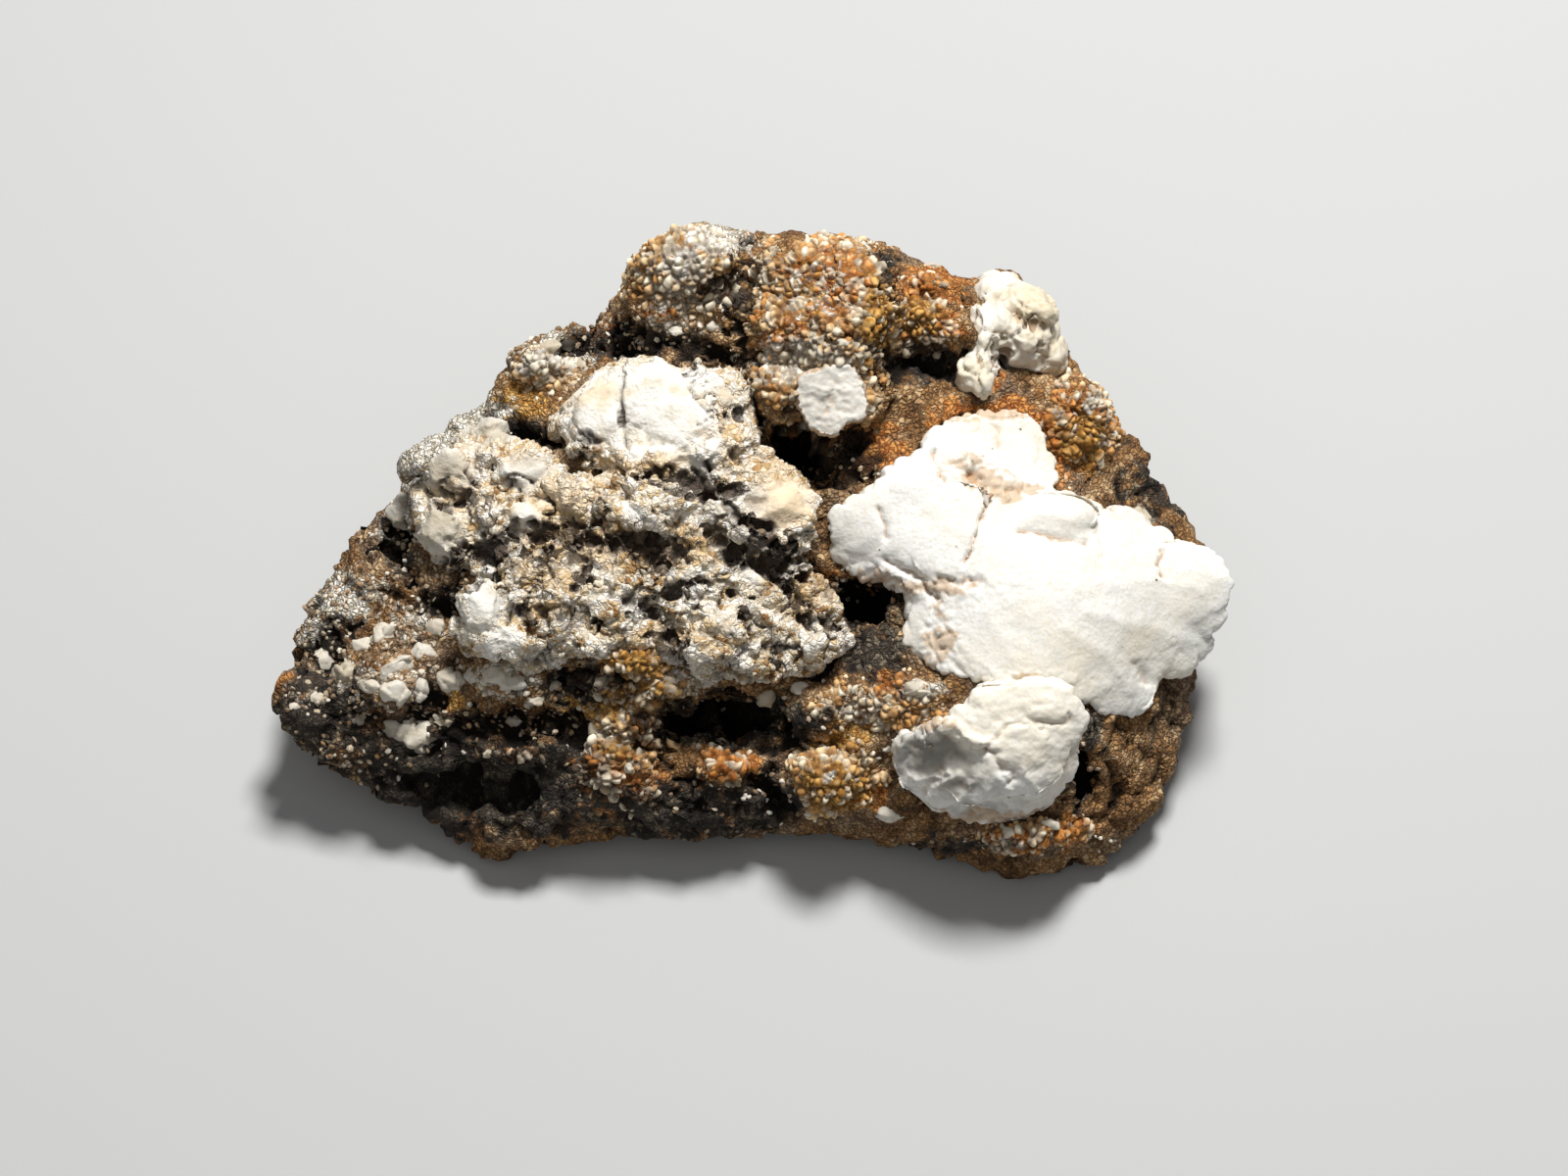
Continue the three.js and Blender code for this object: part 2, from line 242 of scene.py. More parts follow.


# %% [markdown]
# ## Lumps placed one by one
# A lump starts as an icosphere. Low in faces it is an angular fragment, and high in faces a rounded knob.
# Each kind is modelled once, made uneven, and copied with its own mesh to each place, turned so that its
# short side points out of the rock, and sunk until it looks grown in.


# %% Lump maker
def lump_kind(name, subdivisions, uneven, seed):
    """One lump of unit radius, pushed in and out by a cloud pattern."""
    bpy.ops.object.select_all(action="DESELECT")
    bpy.ops.mesh.primitive_ico_sphere_add(subdivisions=subdivisions, radius=1)
    kind = bpy.context.object
    kind.name = name
    rng = np.random.default_rng(seed)
    points = points_of(kind)
    waves = rng.normal(size=(6, 3)) * 1.6
    phases = rng.uniform(0, 6.3, 6)
    swell = sum(np.sin(points @ w + p) for w, p in zip(waves, phases)) / 6
    move_points(kind, points * (1 + uneven * 2 * swell)[:, None])
    kind.hide_render = True
    kind.hide_viewport = True
    return kind


ROUND = lump_kind("round_lump", 4, 0.16, 3)
KNOBBLY = lump_kind("knobbly_lump", 2, 0.26, 5)
BLOCK = lump_kind("angular_lump", 1, 0.3, 8)


def lumps(places, surface, kind, seed=0, sunk=0.6):
    """Copies of a kind of lump, sunk by a share of their half depth.

    Each place is (x, y, half width, half height, half depth, lift, turn).
    """
    rng = np.random.default_rng(seed)
    made = []
    for x, y, wide, high, deep, lift, turn in places:
        direction = through(x, y)
        hit, normal = surface.ray_cast(EYE, direction)[:2]
        if hit is None:
            hit, normal = surface.find_nearest(EYE + direction * (DISTANCE - 4 * MM))[:2]
        out = (normal + OUT).normalized()
        side = (ACROSS - out * ACROSS.dot(out)).normalized()
        side.rotate(Matrix.Rotation(math.radians(turn), 3, out))
        frame_at = Matrix((side, out.cross(side), out)).transposed()
        spin = Matrix.Rotation(rng.uniform(0, 6.3), 3, "Z") @ Matrix.Rotation(rng.uniform(0, 6.3), 3, "X")
        size = Matrix.Diagonal((wide * MM, high * MM, deep * MM))
        copy = bpy.data.objects.new("lump", kind.data.copy())
        bpy.context.collection.objects.link(copy)
        copy.data.transform((frame_at @ size @ spin).to_4x4())
        copy.data.transform(Matrix.Translation(hit + out * (lift - sunk * deep) * MM))
        made.append(copy)
    return made


# %% [markdown]
# ## Strokes
# Creases, cracks, ridges and pits are strokes, as in sculpting. A stroke is a line on the view with a
# width and a height. What is seen of the surface near the line moves along its normal, and a height below
# zero carves.


# %% Stroke maker
def distance_to(line, places):
    """The distance on the view from each place to a line of points."""
    line = np.array(line, float)
    if len(line) == 1:
        return np.hypot(*(places - line[0]).T)
    nearest = np.full(len(places), 1e9)
    for a, b in zip(line, line[1:]):
        share = np.clip(((places - a) @ (b - a)) / max((b - a) @ (b - a), 1e-9), 0, 1)
        nearest = np.minimum(nearest, np.hypot(*(places - (a + share[:, None] * (b - a))).T))
    return nearest


def wander(points, size, seed):
    """A smooth pattern between about -1 and 1, whose waves are about size millimetres long."""
    rng = np.random.default_rng(seed)
    waves = rng.normal(size=(10, 3)) * 4.4 / (size * MM)
    phases = rng.uniform(0, 6.3, 10)
    return sum(np.sin(points @ w + p) for w, p in zip(waves, phases)) / 4


def sculpt(piece, strokes, seed=5, warp=5, share=1.0, deepest=9.0):
    """Moves the seen surface by strokes, and keeps how deep they carve.

    Each stroke is (line, width in mm, height in mm). Warp makes the lines uneven, and the carving is held to
    about the deepest millimetres.
    """
    points, normals = points_of(piece), normals_of(piece)
    seen = np.clip((normals @ np.array(OUT) + 0.25) * 3, 0, 1)
    bend = np.stack([wander(points, 4, seed), wander(points, 4, seed + 1)], axis=1) * warp
    bend += np.stack([wander(points, 1.4, seed + 2), wander(points, 1.4, seed + 3)], axis=1) * warp * 0.6
    places = on_view(points) + bend
    move = np.zeros(len(points))
    for line, width, height in strokes:
        near = distance_to(line, places) / (width * 10)
        move += height * MM * np.exp(-near * near)
    move = np.where(move < 0, np.tanh(move * share / (deepest * MM)) * deepest * MM, move * share) * seen
    move_points(piece, points + normals * move[:, None])
    keep(piece, "carved", np.clip(-move / (share * MM), 0, 1))
    return piece


def flatten(piece, degree, share, lower=0.0):
    """Draws the seen side towards one smooth sheet, a plane or a curved one, lowered by some millimetres."""
    points, facing = points_of(piece), normals_of(piece) @ np.array(OUT)
    u, v, height = points @ np.array(ACROSS) / MM, points @ np.array(UP) / MM, points @ np.array(OUT) / MM
    u, v = u - u.mean(), v - v.mean()
    terms = np.stack([u ** i * v ** j for i in range(degree + 1) for j in range(degree + 1 - i)], axis=1)
    top = facing > 0.8
    sheet = terms @ np.linalg.lstsq(terms[top], height[top], rcond=None)[0]
    move = np.clip((sheet - lower - height) * share, -2, 2) * np.clip(facing * 2.5, 0, 1)
    move_points(piece, points + move[:, None] * np.array(OUT) * MM)
    return piece


# %% [markdown]
# ## Colour patches
# Where iron or clay has stained the stone is a soft patch, kept as a number on each point of the piece.
# The finish later breaks the patch's edge up with a fine pattern, so only its place and reach are given
# here.


# %% Patch maker
def paint(piece, name, patches, base=0.0):
    """Keeps soft patches, each (x, y, half width, half height, strength), as an attribute of the piece."""
    points = points_of(piece)
    ragged_by = np.stack([wander(points, 5, 21), wander(points, 5, 22)], axis=1) * 5
    ragged_by += np.stack([wander(points, 1.8, 23), wander(points, 1.8, 24)], axis=1) * 3
    places = on_view(points) + ragged_by
    amount = np.zeros(len(places))
    for x, y, wide, high, strength in patches:
        near = ((places[:, 0] - x) / wide) ** 2 + ((places[:, 1] - y) / high) ** 2
        amount = np.maximum(amount, strength * np.exp(-near * 0.7))
    facing = normals_of(piece) @ np.array(OUT)
    return keep(piece, name, base + (1 - base) * amount * np.clip(facing * 4 + 1.4, 0, 1))


def keep(piece, name, amount):
    """Keeps one number for each point of the piece as an attribute."""
    kept = piece.data.attributes.get(name) or piece.data.attributes.new(name, "FLOAT", "POINT")
    kept.data.foreach_set("value", amount.astype(np.float32))
    return amount


def turned_away(piece, steepness):
    """1 on a piece's sides, which face away from the viewer, and 0 where it faces the viewer."""
    return np.clip(1.3 - normals_of(piece) @ np.array(OUT) * steepness, 0, 1)


def kept_on(piece, name):
    """Reads an attribute back."""
    amount = np.zeros(len(piece.data.vertices), np.float32)
    piece.data.attributes[name].data.foreach_get("value", amount)
    return amount


# %% [markdown]
# ## Relief grown by nodes
# Three kinds of relief make up this stone, and Geometry Nodes push a fine skin out by them. It could be
# done with displacement textures, but nodes also keep what they did on the mesh, for the colours. One
# small function adds a node with its settings and links. It returns the output that the next node reads,
# so a chain of nodes reads from top to bottom.

# %% Node helper
def add(tree, kind, inputs=None, output=0, **settings):
    """Adds a node with its settings, links or sets its inputs, and returns one of its outputs."""
    made = tree.nodes.new(kind)
    for name, value in settings.items():
        setattr(made, name, value)
    for socket, value in (inputs or {}).items():
        if isinstance(value, bpy.types.NodeSocket):
            tree.links.new(value, made.inputs[socket])
        else:
            made.inputs[socket].default_value = value
    return made.outputs[output] if len(made.outputs) else None


def new_group(name):
    """An empty geometry group with one geometry in and one out."""
    tree = bpy.data.node_groups.new(name, "GeometryNodeTree")
    for side in ("INPUT", "OUTPUT"):
        tree.interface.new_socket("Geometry", in_out=side, socket_type="NodeSocketGeometry")
    return tree, add(tree, "NodeGroupInput")


# %% [markdown]
# Beads are domes with sharp gaps, from the distance to a Voronoi cell's edge. Facets are the flat, tilted
# faces of broken stone: each Voronoi cell gets a slope of its own. Cloud is plain crumbling. Each kind
# gives its rise, about -0.5 to 0.5, and 0 in a gap to 1 away from it, where it has gaps.

# %% Kinds of relief
def beads_relief(tree, place, size):
    """Domes from -0.4 to 0.6, steep at their foot."""
    edge = add(tree, "ShaderNodeTexVoronoi", {"Vector": place, "Scale": 1000 / size}, "Distance",
               feature="DISTANCE_TO_EDGE")
    inner = add(tree, "ShaderNodeMapRange", {0: edge, 2: 0.34})
    left = add(tree, "ShaderNodeMath", {0: 1.0, 1: inner}, operation="SUBTRACT")
    fall = add(tree, "ShaderNodeMath", {0: left, 1: left}, operation="MULTIPLY")
    return add(tree, "ShaderNodeMath", {0: 0.6, 1: fall}, operation="SUBTRACT"), inner


def facets_relief(tree, place, size):
    """Flat faces, each tilted and stepped its own way, with a crack of 0.3 mm round it."""
    edge = add(tree, "ShaderNodeTexVoronoi", {"Vector": place, "Scale": 1000 / size}, "Distance",
               feature="DISTANCE_TO_EDGE")
    inner = add(tree, "ShaderNodeMapRange", {0: edge, 2: 0.3 / size})
    crack = add(tree, "ShaderNodeMath", {0: inner, 1: 0.3, 2: -0.3}, operation="MULTIPLY_ADD")
    cells = add(tree, "ShaderNodeTexVoronoi", {"Vector": place, "Scale": 1000 / size}, "Color")
    slope = add(tree, "ShaderNodeVectorMath", {0: cells, 1: (0.5, 0.5, 0.5)}, operation="SUBTRACT")
    middle = cells.node.outputs["Position"]
    off = add(tree, "ShaderNodeVectorMath", {0: place, 1: middle}, operation="SUBTRACT")
    step = add(tree, "ShaderNodeVectorMath", {0: slope, 1: (0.3, 0.5, 0.4)}, "Value", operation="DOT_PRODUCT")
    tilt = add(tree, "ShaderNodeVectorMath", {0: slope, 1: off}, "Value", operation="DOT_PRODUCT")
    flat = add(tree, "ShaderNodeMath", {0: tilt, 1: 1600 / size, 2: step}, operation="MULTIPLY_ADD")
    return add(tree, "ShaderNodeMath", {0: flat, 1: crack}, operation="ADD"), inner


def cloud_relief(tree, place, size):
    """Plain crumbling, with no gaps."""
    noise = add(tree, "ShaderNodeTexNoise", {"Vector": place, "Scale": 1000 / size, "Detail": 3.0})
    return add(tree, "ShaderNodeMath", {0: noise, 1: 2.0, 2: -1.0}, operation="MULTIPLY_ADD"), None


RELIEF_KINDS = {"beads": beads_relief, "facets": facets_relief, "cloud": cloud_relief}

# %% [markdown]
# The layers of a piece are added up, each held back where its mask is low, and the skin is pushed out along
# its normals. Three numbers stay on the mesh for the finish: a random tone for each grain, how near a point
# is to a gap, and how far it lies below its blurred surroundings. Most finishes darken the gaps and the low
# places with painted shade.

# %% Relief
NOISE_BEND = 0.0011  # how far the pattern is bent, so that no row of cells runs straight
BEND_SCALE = 260.0  # waves of the bend to a metre
BLUR_STEPS = 24
HOLLOW_DEPTH = 0.6  # mm below the blurred surroundings that add 1 to the hollow


def relief(piece, layers, seed, tone_size=2.0):
    """Grows layers of (kind, size in mm, height in mm, mask attribute or None) on the piece."""
    tree, shape = new_group("relief_of_" + piece.name)
    place = add(tree, "GeometryNodeInputPosition")
    bend = add(tree, "ShaderNodeTexNoise", {"Vector": place, "Scale": BEND_SCALE, "Detail": 1.0}, "Color")
    bend = add(tree, "ShaderNodeVectorMath", {0: bend, 1: (0.5, 0.5, 0.5)}, operation="SUBTRACT")
    bent = add(tree, "ShaderNodeVectorMath", {0: bend, 1: (NOISE_BEND,) * 3, 2: place},
               operation="MULTIPLY_ADD")
    total, gap = 0.0, 1.0
    for number, (kind, size, height, mask) in enumerate(layers):
        away = (0.01 * seed, 0.02 * number, 0)
        moved = add(tree, "ShaderNodeVectorMath", {0: bent, 1: away}, operation="ADD")
        rise, inner = RELIEF_KINDS[kind](tree, moved, size)
        if mask:
            kept = add(tree, "GeometryNodeInputNamedAttribute", {"Name": mask}, data_type="FLOAT")
            rise = add(tree, "ShaderNodeMath", {0: rise, 1: kept}, operation="MULTIPLY")
            if inner:
                short = add(tree, "ShaderNodeMath", {0: inner, 1: 1.0}, operation="SUBTRACT")
                inner = add(tree, "ShaderNodeMath", {0: short, 1: kept, 2: 1.0}, operation="MULTIPLY_ADD")
        total = add(tree, "ShaderNodeMath", {0: rise, 1: height * MM, 2: total}, operation="MULTIPLY_ADD")
        gap = add(tree, "ShaderNodeMath", {0: inner, 1: gap}, operation="MINIMUM") if inner else gap
    moved = add(tree, "ShaderNodeVectorMath", {0: bent, 1: (0.01 * seed, 0, 0)}, operation="ADD")
    cells = add(tree, "ShaderNodeTexVoronoi", {"Vector": moved, "Scale": 1000 / tone_size}, "Color")
    normal = add(tree, "GeometryNodeInputNormal")
    for name, value in (("tone", add(tree, "FunctionNodeSeparateColor", {0: cells})), ("gap", gap)):
        shape = add(tree, "GeometryNodeStoreNamedAttribute",
                    {"Geometry": shape, "Name": name, "Value": value}, data_type="FLOAT")
    push = add(tree, "ShaderNodeVectorMath", {0: normal, "Scale": total}, operation="SCALE")
    shape = add(tree, "GeometryNodeSetPosition", {"Geometry": shape, "Offset": push})
    here = add(tree, "GeometryNodeInputPosition")
    smooth = add(tree, "GeometryNodeBlurAttribute", {0: here, "Iterations": BLUR_STEPS},
                 data_type="FLOAT_VECTOR")
    down = add(tree, "ShaderNodeVectorMath", {0: smooth, 1: here}, operation="SUBTRACT")
    depth = add(tree, "ShaderNodeVectorMath", {0: down, 1: normal}, "Value", operation="DOT_PRODUCT")
    depth = add(tree, "ShaderNodeMath", {0: depth, 1: 1 / (HOLLOW_DEPTH * MM), 2: 0.5},
                operation="MULTIPLY_ADD")
    shape = add(tree, "GeometryNodeStoreNamedAttribute",
                {"Geometry": shape, "Name": "hollow", "Value": depth}, data_type="FLOAT")
    add(tree, "NodeGroupOutput", {0: shape})
    return apply(piece, "NODES", node_group=tree)


# %% [markdown]
# Crumbs too small to place by hand are strewn: points are spread over the faces where a mask is high, and
# each gets a small icosphere of random size and turn, with a random tone.

# %% Strewn fragments
def strewn(piece, name, per_cm2, low, high, mask, seed):
    """A new piece: fragments of random size, low to high in mm, strewn on a piece where a mask is high."""
    made = twin_of(piece, name)
    tree, shape = new_group(name)
    kept = add(tree, "GeometryNodeInputNamedAttribute", {"Name": mask}, data_type="FLOAT")
    spots = add(tree, "GeometryNodeDistributePointsOnFaces",
                {"Mesh": shape, "Seed": seed, "Distance Min": low * 0.9 * MM, "Density Max": per_cm2 * 1e4,
                 "Density Factor": kept}, distribute_method="POISSON")
    ball = add(tree, "GeometryNodeMeshIcoSphere", {"Radius": 1.0, "Subdivisions": 1})
    size = add(tree, "FunctionNodeRandomValue", {0: (low * MM,) * 3, 1: (high * MM,) * 3, "Seed": seed + 1},
               data_type="FLOAT_VECTOR")
    turn = add(tree, "FunctionNodeRandomValue", {0: (0.0,) * 3, 1: (6.28,) * 3, "Seed": seed + 2},
               data_type="FLOAT_VECTOR")
    tone = add(tree, "FunctionNodeRandomValue", {2: 0.0, 3: 1.0, "Seed": seed + 3}, 1, data_type="FLOAT")
    grown_on = add(tree, "GeometryNodeInstanceOnPoints",
                   {"Points": spots, "Instance": ball, "Rotation": turn, "Scale": size})
    grown_on = add(tree, "GeometryNodeStoreNamedAttribute",
                   {"Geometry": grown_on, "Name": "tone", "Value": tone},
                   data_type="FLOAT", domain="INSTANCE")
    add(tree, "NodeGroupOutput", {0: add(tree, "GeometryNodeRealizeInstances", {0: grown_on})})
    return apply(made, "NODES", node_group=tree)


# %% [markdown]
# ## The host rock
# The real rock is one dark, fine-grained stone, weathered brown, with rounded crusts grown over it. Its
# solid has pockets where the huntite sits. They are filled by copies of the huntite, swollen sideways and
# sunk, so the rock runs on under the white masses without a gap. Then lumps are placed, and one skin is
# drawn over all.

# %% Rock: masses
HUNTITE = ["huntite_main_mass", "huntite_lower_mass", "huntite_granular_crust", "huntite_upper_knob",
           "huntite_cleaved_chip"]
huntite_solids = surface_of(*[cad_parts[node] for node in HUNTITE])
rock = copy_of("matrix_rock", "host_rock")
FILL_SWELL, FILL_DEPTH, ROCK_VOXEL = 0.4, 2.2, 0.5  # in mm
fills = []
for node in HUNTITE:
    fill = copy_of(node, "fill")
    apply(fill, "DISPLACE", strength=FILL_SWELL * MM, mid_level=0)
    fill.data.transform(Matrix.Translation(OUT * -FILL_DEPTH * MM))
    fills.append(fill)
KNOBS = [
    # the two domes at the top, with the grey bump and the block to their right
    (700, 262, 4.6, 2.8, 2.0, -0.3, 0), (668, 300, 3.0, 3.2, 2.4, 0, 20), (742, 318, 2.8, 2.0, 2.4, 0, 0),
    (820, 268, 4.6, 2.6, 1.6, -0.5, 0), (884, 300, 3.2, 5.0, 2.4, 0, 10), (800, 330, 4.0, 3.0, 2.6, 0.2, 0),
    (858, 345, 4.2, 3.2, 3.0, 0.3, 0), (893, 258, 2.4, 2.2, 1.6, -0.3, 0),
    (955, 292, 3.0, 1.8, 2.4, 0.4, 0), (940, 325, 2.6, 2.4, 2.4, 0, 0), (975, 340, 2.0, 3.0, 2.0, 0, 0),
    (905, 410, 3.0, 3.4, 1.8, -0.4, 0),
    # the ledge over the upper hollow
    (790, 405, 2.6, 2.6, 2.6, 0, 0), (845, 362, 3.6, 1.6, 2.4, 0.4, 0), (893, 395, 1.4, 3.0, 2.4, 0, 0),
    (800, 440, 2.0, 1.8, 2.0, 0.2, 0), (868, 470, 3.0, 1.6, 2.4, 0.2, -25),
    # the orange knob at the right and the slope below it
    (1090, 405, 3.0, 2.2, 2.6, 0, 0), (1112, 430, 2.0, 2.4, 2.4, 0, 0), (1085, 445, 2.4, 3.0, 2.4, 0.2, 0),
    (1108, 468, 2.4, 1.8, 2.0, 0, 0), (1150, 470, 3.0, 3.6, 1.6, -0.2, 35),
    # the left edge: smooth grey blocks, the ochre patch and the tip
    (440, 470, 3.4, 2.6, 2.6, 0, 30), (478, 435, 3.0, 2.4, 2.4, 0, 30), (530, 400, 3.0, 2.0, 2.2, 0.2, 0),
    (575, 350, 3.0, 1.8, 2.2, 0, 20), (548, 372, 2.4, 1.8, 2.0, 0, 0), (410, 540, 1.8, 3.4, 2.4, 0, -25),
    (345, 620, 3.2, 2.4, 1.8, 0, 40), (322, 665, 2.4, 2.2, 1.6, 0, 0), (372, 592, 2.6, 2.0, 1.8, 0, 30),
    (310, 728, 3.0, 2.4, 2.2, 0, 0), (345, 760, 3.4, 2.0, 2.4, 0, -20), (400, 700, 3.6, 3.0, 2.2, 0, 0),
    # the lower middle: ochre lumps between deep hollows
    (520, 690, 3.4, 2.0, 2.6, 0.4, 0), (640, 672, 3.0, 2.2, 2.4, 0.4, 0), (672, 700, 2.6, 2.4, 2.2, 0.2, 0),
    (640, 735, 2.6, 2.4, 2.4, 0.2, 0), (625, 780, 2.6, 3.0, 2.2, 0, 0), (655, 805, 3.0, 2.2, 2.0, 0, 0),
    (735, 782, 2.6, 2.2, 2.4, 0.2, 0), (710, 690, 2.6, 1.6, 2.0, 0.2, 0), (560, 765, 3.2, 1.6, 1.8, 0, 10),
    (845, 795, 3.0, 2.6, 3.0, 0.4, 0), (880, 760, 2.0, 1.8, 2.0, 0.2, 0), (835, 735, 3.0, 2.4, 2.2, 0.2, 0),
    (900, 715, 2.6, 2.0, 1.8, 0.2, 0), (945, 700, 3.0, 1.6, 1.6, 0.2, 0), (865, 700, 2.4, 2.0, 1.8, 0, 0),
    (728, 735, 0.9, 2.4, 2.2, 1.4, 15), (770, 742, 1.5, 1.2, 1.8, 0.9, 0),
    (698, 722, 1.2, 1.0, 1.6, 0.8, 0), (1045, 852, 4.0, 1.6, 2.4, 0.2, 0),
    (1085, 840, 2.4, 1.6, 2.0, 0.2, 0), (780, 690, 2.0, 2.0, 1.6, 0, 0),
]
rock = join([rock] + fills + lumps(KNOBS, solids, ROUND, seed=1), "host_rock")
rock = without_crumbs(skin(rock, ROCK_VOXEL, 5))
print("rock:", len(rock.data.polygons), "faces before its relief")

# %% [markdown]
# Deep slots and caves run between the knobs. They are carved by strokes rather than by Booleans, because
# a stroke leaves soft, uneven edges as weathering does. Where the crust of beads grows is painted next,
# and the rock is drawn in a little wherever huntite covers it, so that it never shows through.

# %% Rock: hollows
HOLLOWS = [
    ([(578, 347), (622, 347)], 1.0, -2.2), ([(635, 354), (745, 358)], 0.7, -1.8),
    ([(508, 442), (552, 438)], 1.0, -2.2), ([(800, 458), (865, 464)], 2.2, -3.4),
    ([(930, 372), (958, 380)], 1.2, -1.6), ([(305, 668), (340, 652)], 1.2, -2.2),
    ([(403, 545), (412, 578)], 1.0, -2.2), ([(452, 614), (490, 626)], 0.9, -2.2),
    ([(565, 700), (640, 690)], 0.8, -2.4), ([(680, 728), (705, 745)], 1.4, -2.4),
    ([(740, 730), (755, 748)], 1.6, -2.6), ([(785, 738), (800, 752)], 1.2, -2.4),
    ([(668, 760), (675, 775)], 0.8, -1.6), ([(470, 740), (590, 745)], 1.2, -2.2),
    ([(775, 800), (798, 835)], 1.0, -2.8), ([(430, 715), (436, 760)], 0.9, -1.8),
    ([(855, 612), (915, 625)], 1.6, -2.4), ([(1092, 780), (1104, 812)], 0.9, -1.8),
    ([(690, 800), (715, 825)], 0.8, -1.6), ([(762, 370), (774, 400), (766, 425)], 0.6, -1.1),
    ([(896, 330), (908, 362), (900, 400)], 0.5, -1.0),
    ([(766, 236), (752, 262), (764, 300), (750, 335), (766, 370)], 0.6, -1.2),
    ([(770, 352), (830, 342), (893, 350)], 0.4, -1.0),
    ([(884, 246), (900, 268), (904, 300), (916, 320)], 0.4, -1.0), ([(618, 318), (652, 338)], 0.5, -1.2),
    ([(590, 600), (600, 640)], 0.5, -1.0), ([(660, 750), (655, 765)], 0.5, -1.2),
]
sculpt(rock, HOLLOWS, warp=11)
GRAINY = [
    (700, 280, 62, 52, 1), (840, 305, 80, 70, 1), (800, 380, 40, 40, 1), (880, 400, 20, 40, 0.9),
    (850, 365, 60, 16, 1), (940, 325, 40, 50, 0.9), (1100, 435, 40, 52, 1), (645, 705, 56, 62, 1),
    (850, 790, 48, 40, 1), (740, 780, 32, 28, 1), (900, 720, 80, 32, 0.9), (1060, 850, 56, 16, 1),
    (556, 375, 36, 30, 0.8), (630, 785, 44, 42, 1), (820, 440, 44, 18, 0.8), (500, 695, 40, 20, 0.6),
    (530, 770, 50, 14, 0.7),
]


def covered(piece):
    """1 for each point of the piece that huntite within 9 mm hides from the eye, else 0."""
    hidden = [huntite_solids.ray_cast(p, (EYE - p).normalized(), 9 * MM)[0] is not None
              for p in map(Vector, points_of(piece))]
    return np.array(hidden, float)


DRAWN_IN = 0.4  # mm
hidden = covered(rock)
move_points(rock, points_of(rock) - normals_of(rock) * (hidden * DRAWN_IN * MM)[:, None])
grainy = paint(rock, "grainy", GRAINY) * (1 - hidden)
keep(rock, "grainy", grainy)
print("grainy share of the rock:", round(float(grainy.mean()), 3))

# %% [markdown]
# The beaded crust over the domes needs a finer skin than the rock has. The rock's own faces are copied
# where the crust grows, cut once, and grown with beads. Its border dips under the rock, so no edge shows.

# %% Beaded crust
BARE_BELOW, SUNK_BELOW = 0.36, 0.62  # of the grainy mask
DEEPEST, HIGHEST = -1.1, 0.25  # in mm from the rock's face


def beaded_crust(name, top, bottom):
    """The rock's grainy faces between two heights on the view, cut finer and beaded."""
    coat = twin_of(rock, name)
    heights = on_view(points_of(coat))[:, 1]
    bare = (kept_on(coat, "grainy") < BARE_BELOW) | (heights < top) | (heights > bottom)
    bare_faces = [all(bare[v] for v in p.vertices) for p in coat.data.polygons]
    only(coat)
    bpy.ops.object.mode_set(mode="EDIT")
    bpy.ops.mesh.select_mode(type="FACE")
    bpy.ops.mesh.select_all(action="DESELECT")
    bpy.ops.object.mode_set(mode="OBJECT")
    coat.data.polygons.foreach_set("select", bare_faces)
    bpy.ops.object.mode_set(mode="EDIT")
    bpy.ops.mesh.delete(type="FACE")
    bpy.ops.mesh.select_all(action="SELECT")
    bpy.ops.mesh.subdivide(number_cuts=2)
    bpy.ops.object.mode_set(mode="OBJECT")
    apply(coat, "SMOOTH", factor=0.5, iterations=5)
    dip = np.clip((kept_on(coat, "grainy") - SUNK_BELOW) * 3.0, DEEPEST, HIGHEST) * MM
    move_points(coat, points_of(coat) + normals_of(coat) * dip[:, None])
    relief(coat, [("beads", 0.8, 0.55, None), ("beads", 2.4, 0.5, None), ("cloud", 3.0, 0.5, None)], seed=2,
           tone_size=0.8)
    in_box(coat)
    print(name, triangles_of(coat), "triangles")
    return coat


upper_beads = beaded_crust("beaded_crust_of_the_domes", 0, 560)
lower_beads = beaded_crust("beaded_crust_of_the_foot", 560, 1200)

# %% [markdown]
# Bare rock breaks in flat facets of two sizes, with crumbling over them. Beads grow only where the mask says
# so. The dark patches, fresh rock in part and in part painted shade in the hollows, the cracks and along the
# foot, are painted first, because they crumble more.

# %% Rock: relief
keep(rock, "broken", np.clip(1 - grainy * 1.4, 0.1, 1))
# Near black patches: fresh rock in part, and in part painted shade in the hollows, in the cracks and along
# the shaded foot.
DARK_ROCK_AND_SHADE = [
    (330, 735, 60, 55, 0.9), (350, 655, 40, 24, 0.55), (430, 795, 90, 60, 1), (540, 800, 90, 50, 1),
    (690, 830, 90, 34, 1), (735, 298, 30, 22, 1), (650, 348, 60, 16, 0.9), (946, 368, 32, 22, 1),
    (895, 665, 36, 26, 1), (1112, 745, 16, 24, 1), (750, 735, 100, 26, 1), (470, 615, 40, 20, 1),
    (905, 272, 14, 18, 0.9), (530, 442, 32, 14, 1), (820, 462, 50, 20, 1), (1100, 795, 16, 28, 0.9),
    (408, 560, 18, 24, 1), (780, 820, 36, 28, 1), (960, 800, 60, 40, 0.6), (590, 700, 60, 22, 0.9),
    (870, 622, 50, 20, 1), (985, 865, 60, 14, 0.7), (395, 690, 70, 40, 0.3), (430, 650, 40, 30, 0.3),
    (768, 395, 10, 36, 0.6), (903, 370, 8, 36, 0.5), (755, 320, 10, 30, 0.5), (905, 285, 6, 24, 0.5),
    (1170, 505, 50, 60, 0.62), (640, 340, 40, 8, 0.8),
]
paint(rock, "dark_rock_and_shade", DARK_ROCK_AND_SHADE)
relief(rock, [("facets", 5.0, 1.3, "broken"), ("facets", 2.0, 0.5, "broken"), ("cloud", 3.4, 0.7, None),
              ("cloud", 1.6, 0.7, "dark_rock_and_shade"), ("cloud", 1.2, 0.45, None)], seed=1)
in_box(rock, 0.5)
print("rock:", triangles_of(rock), "triangles")
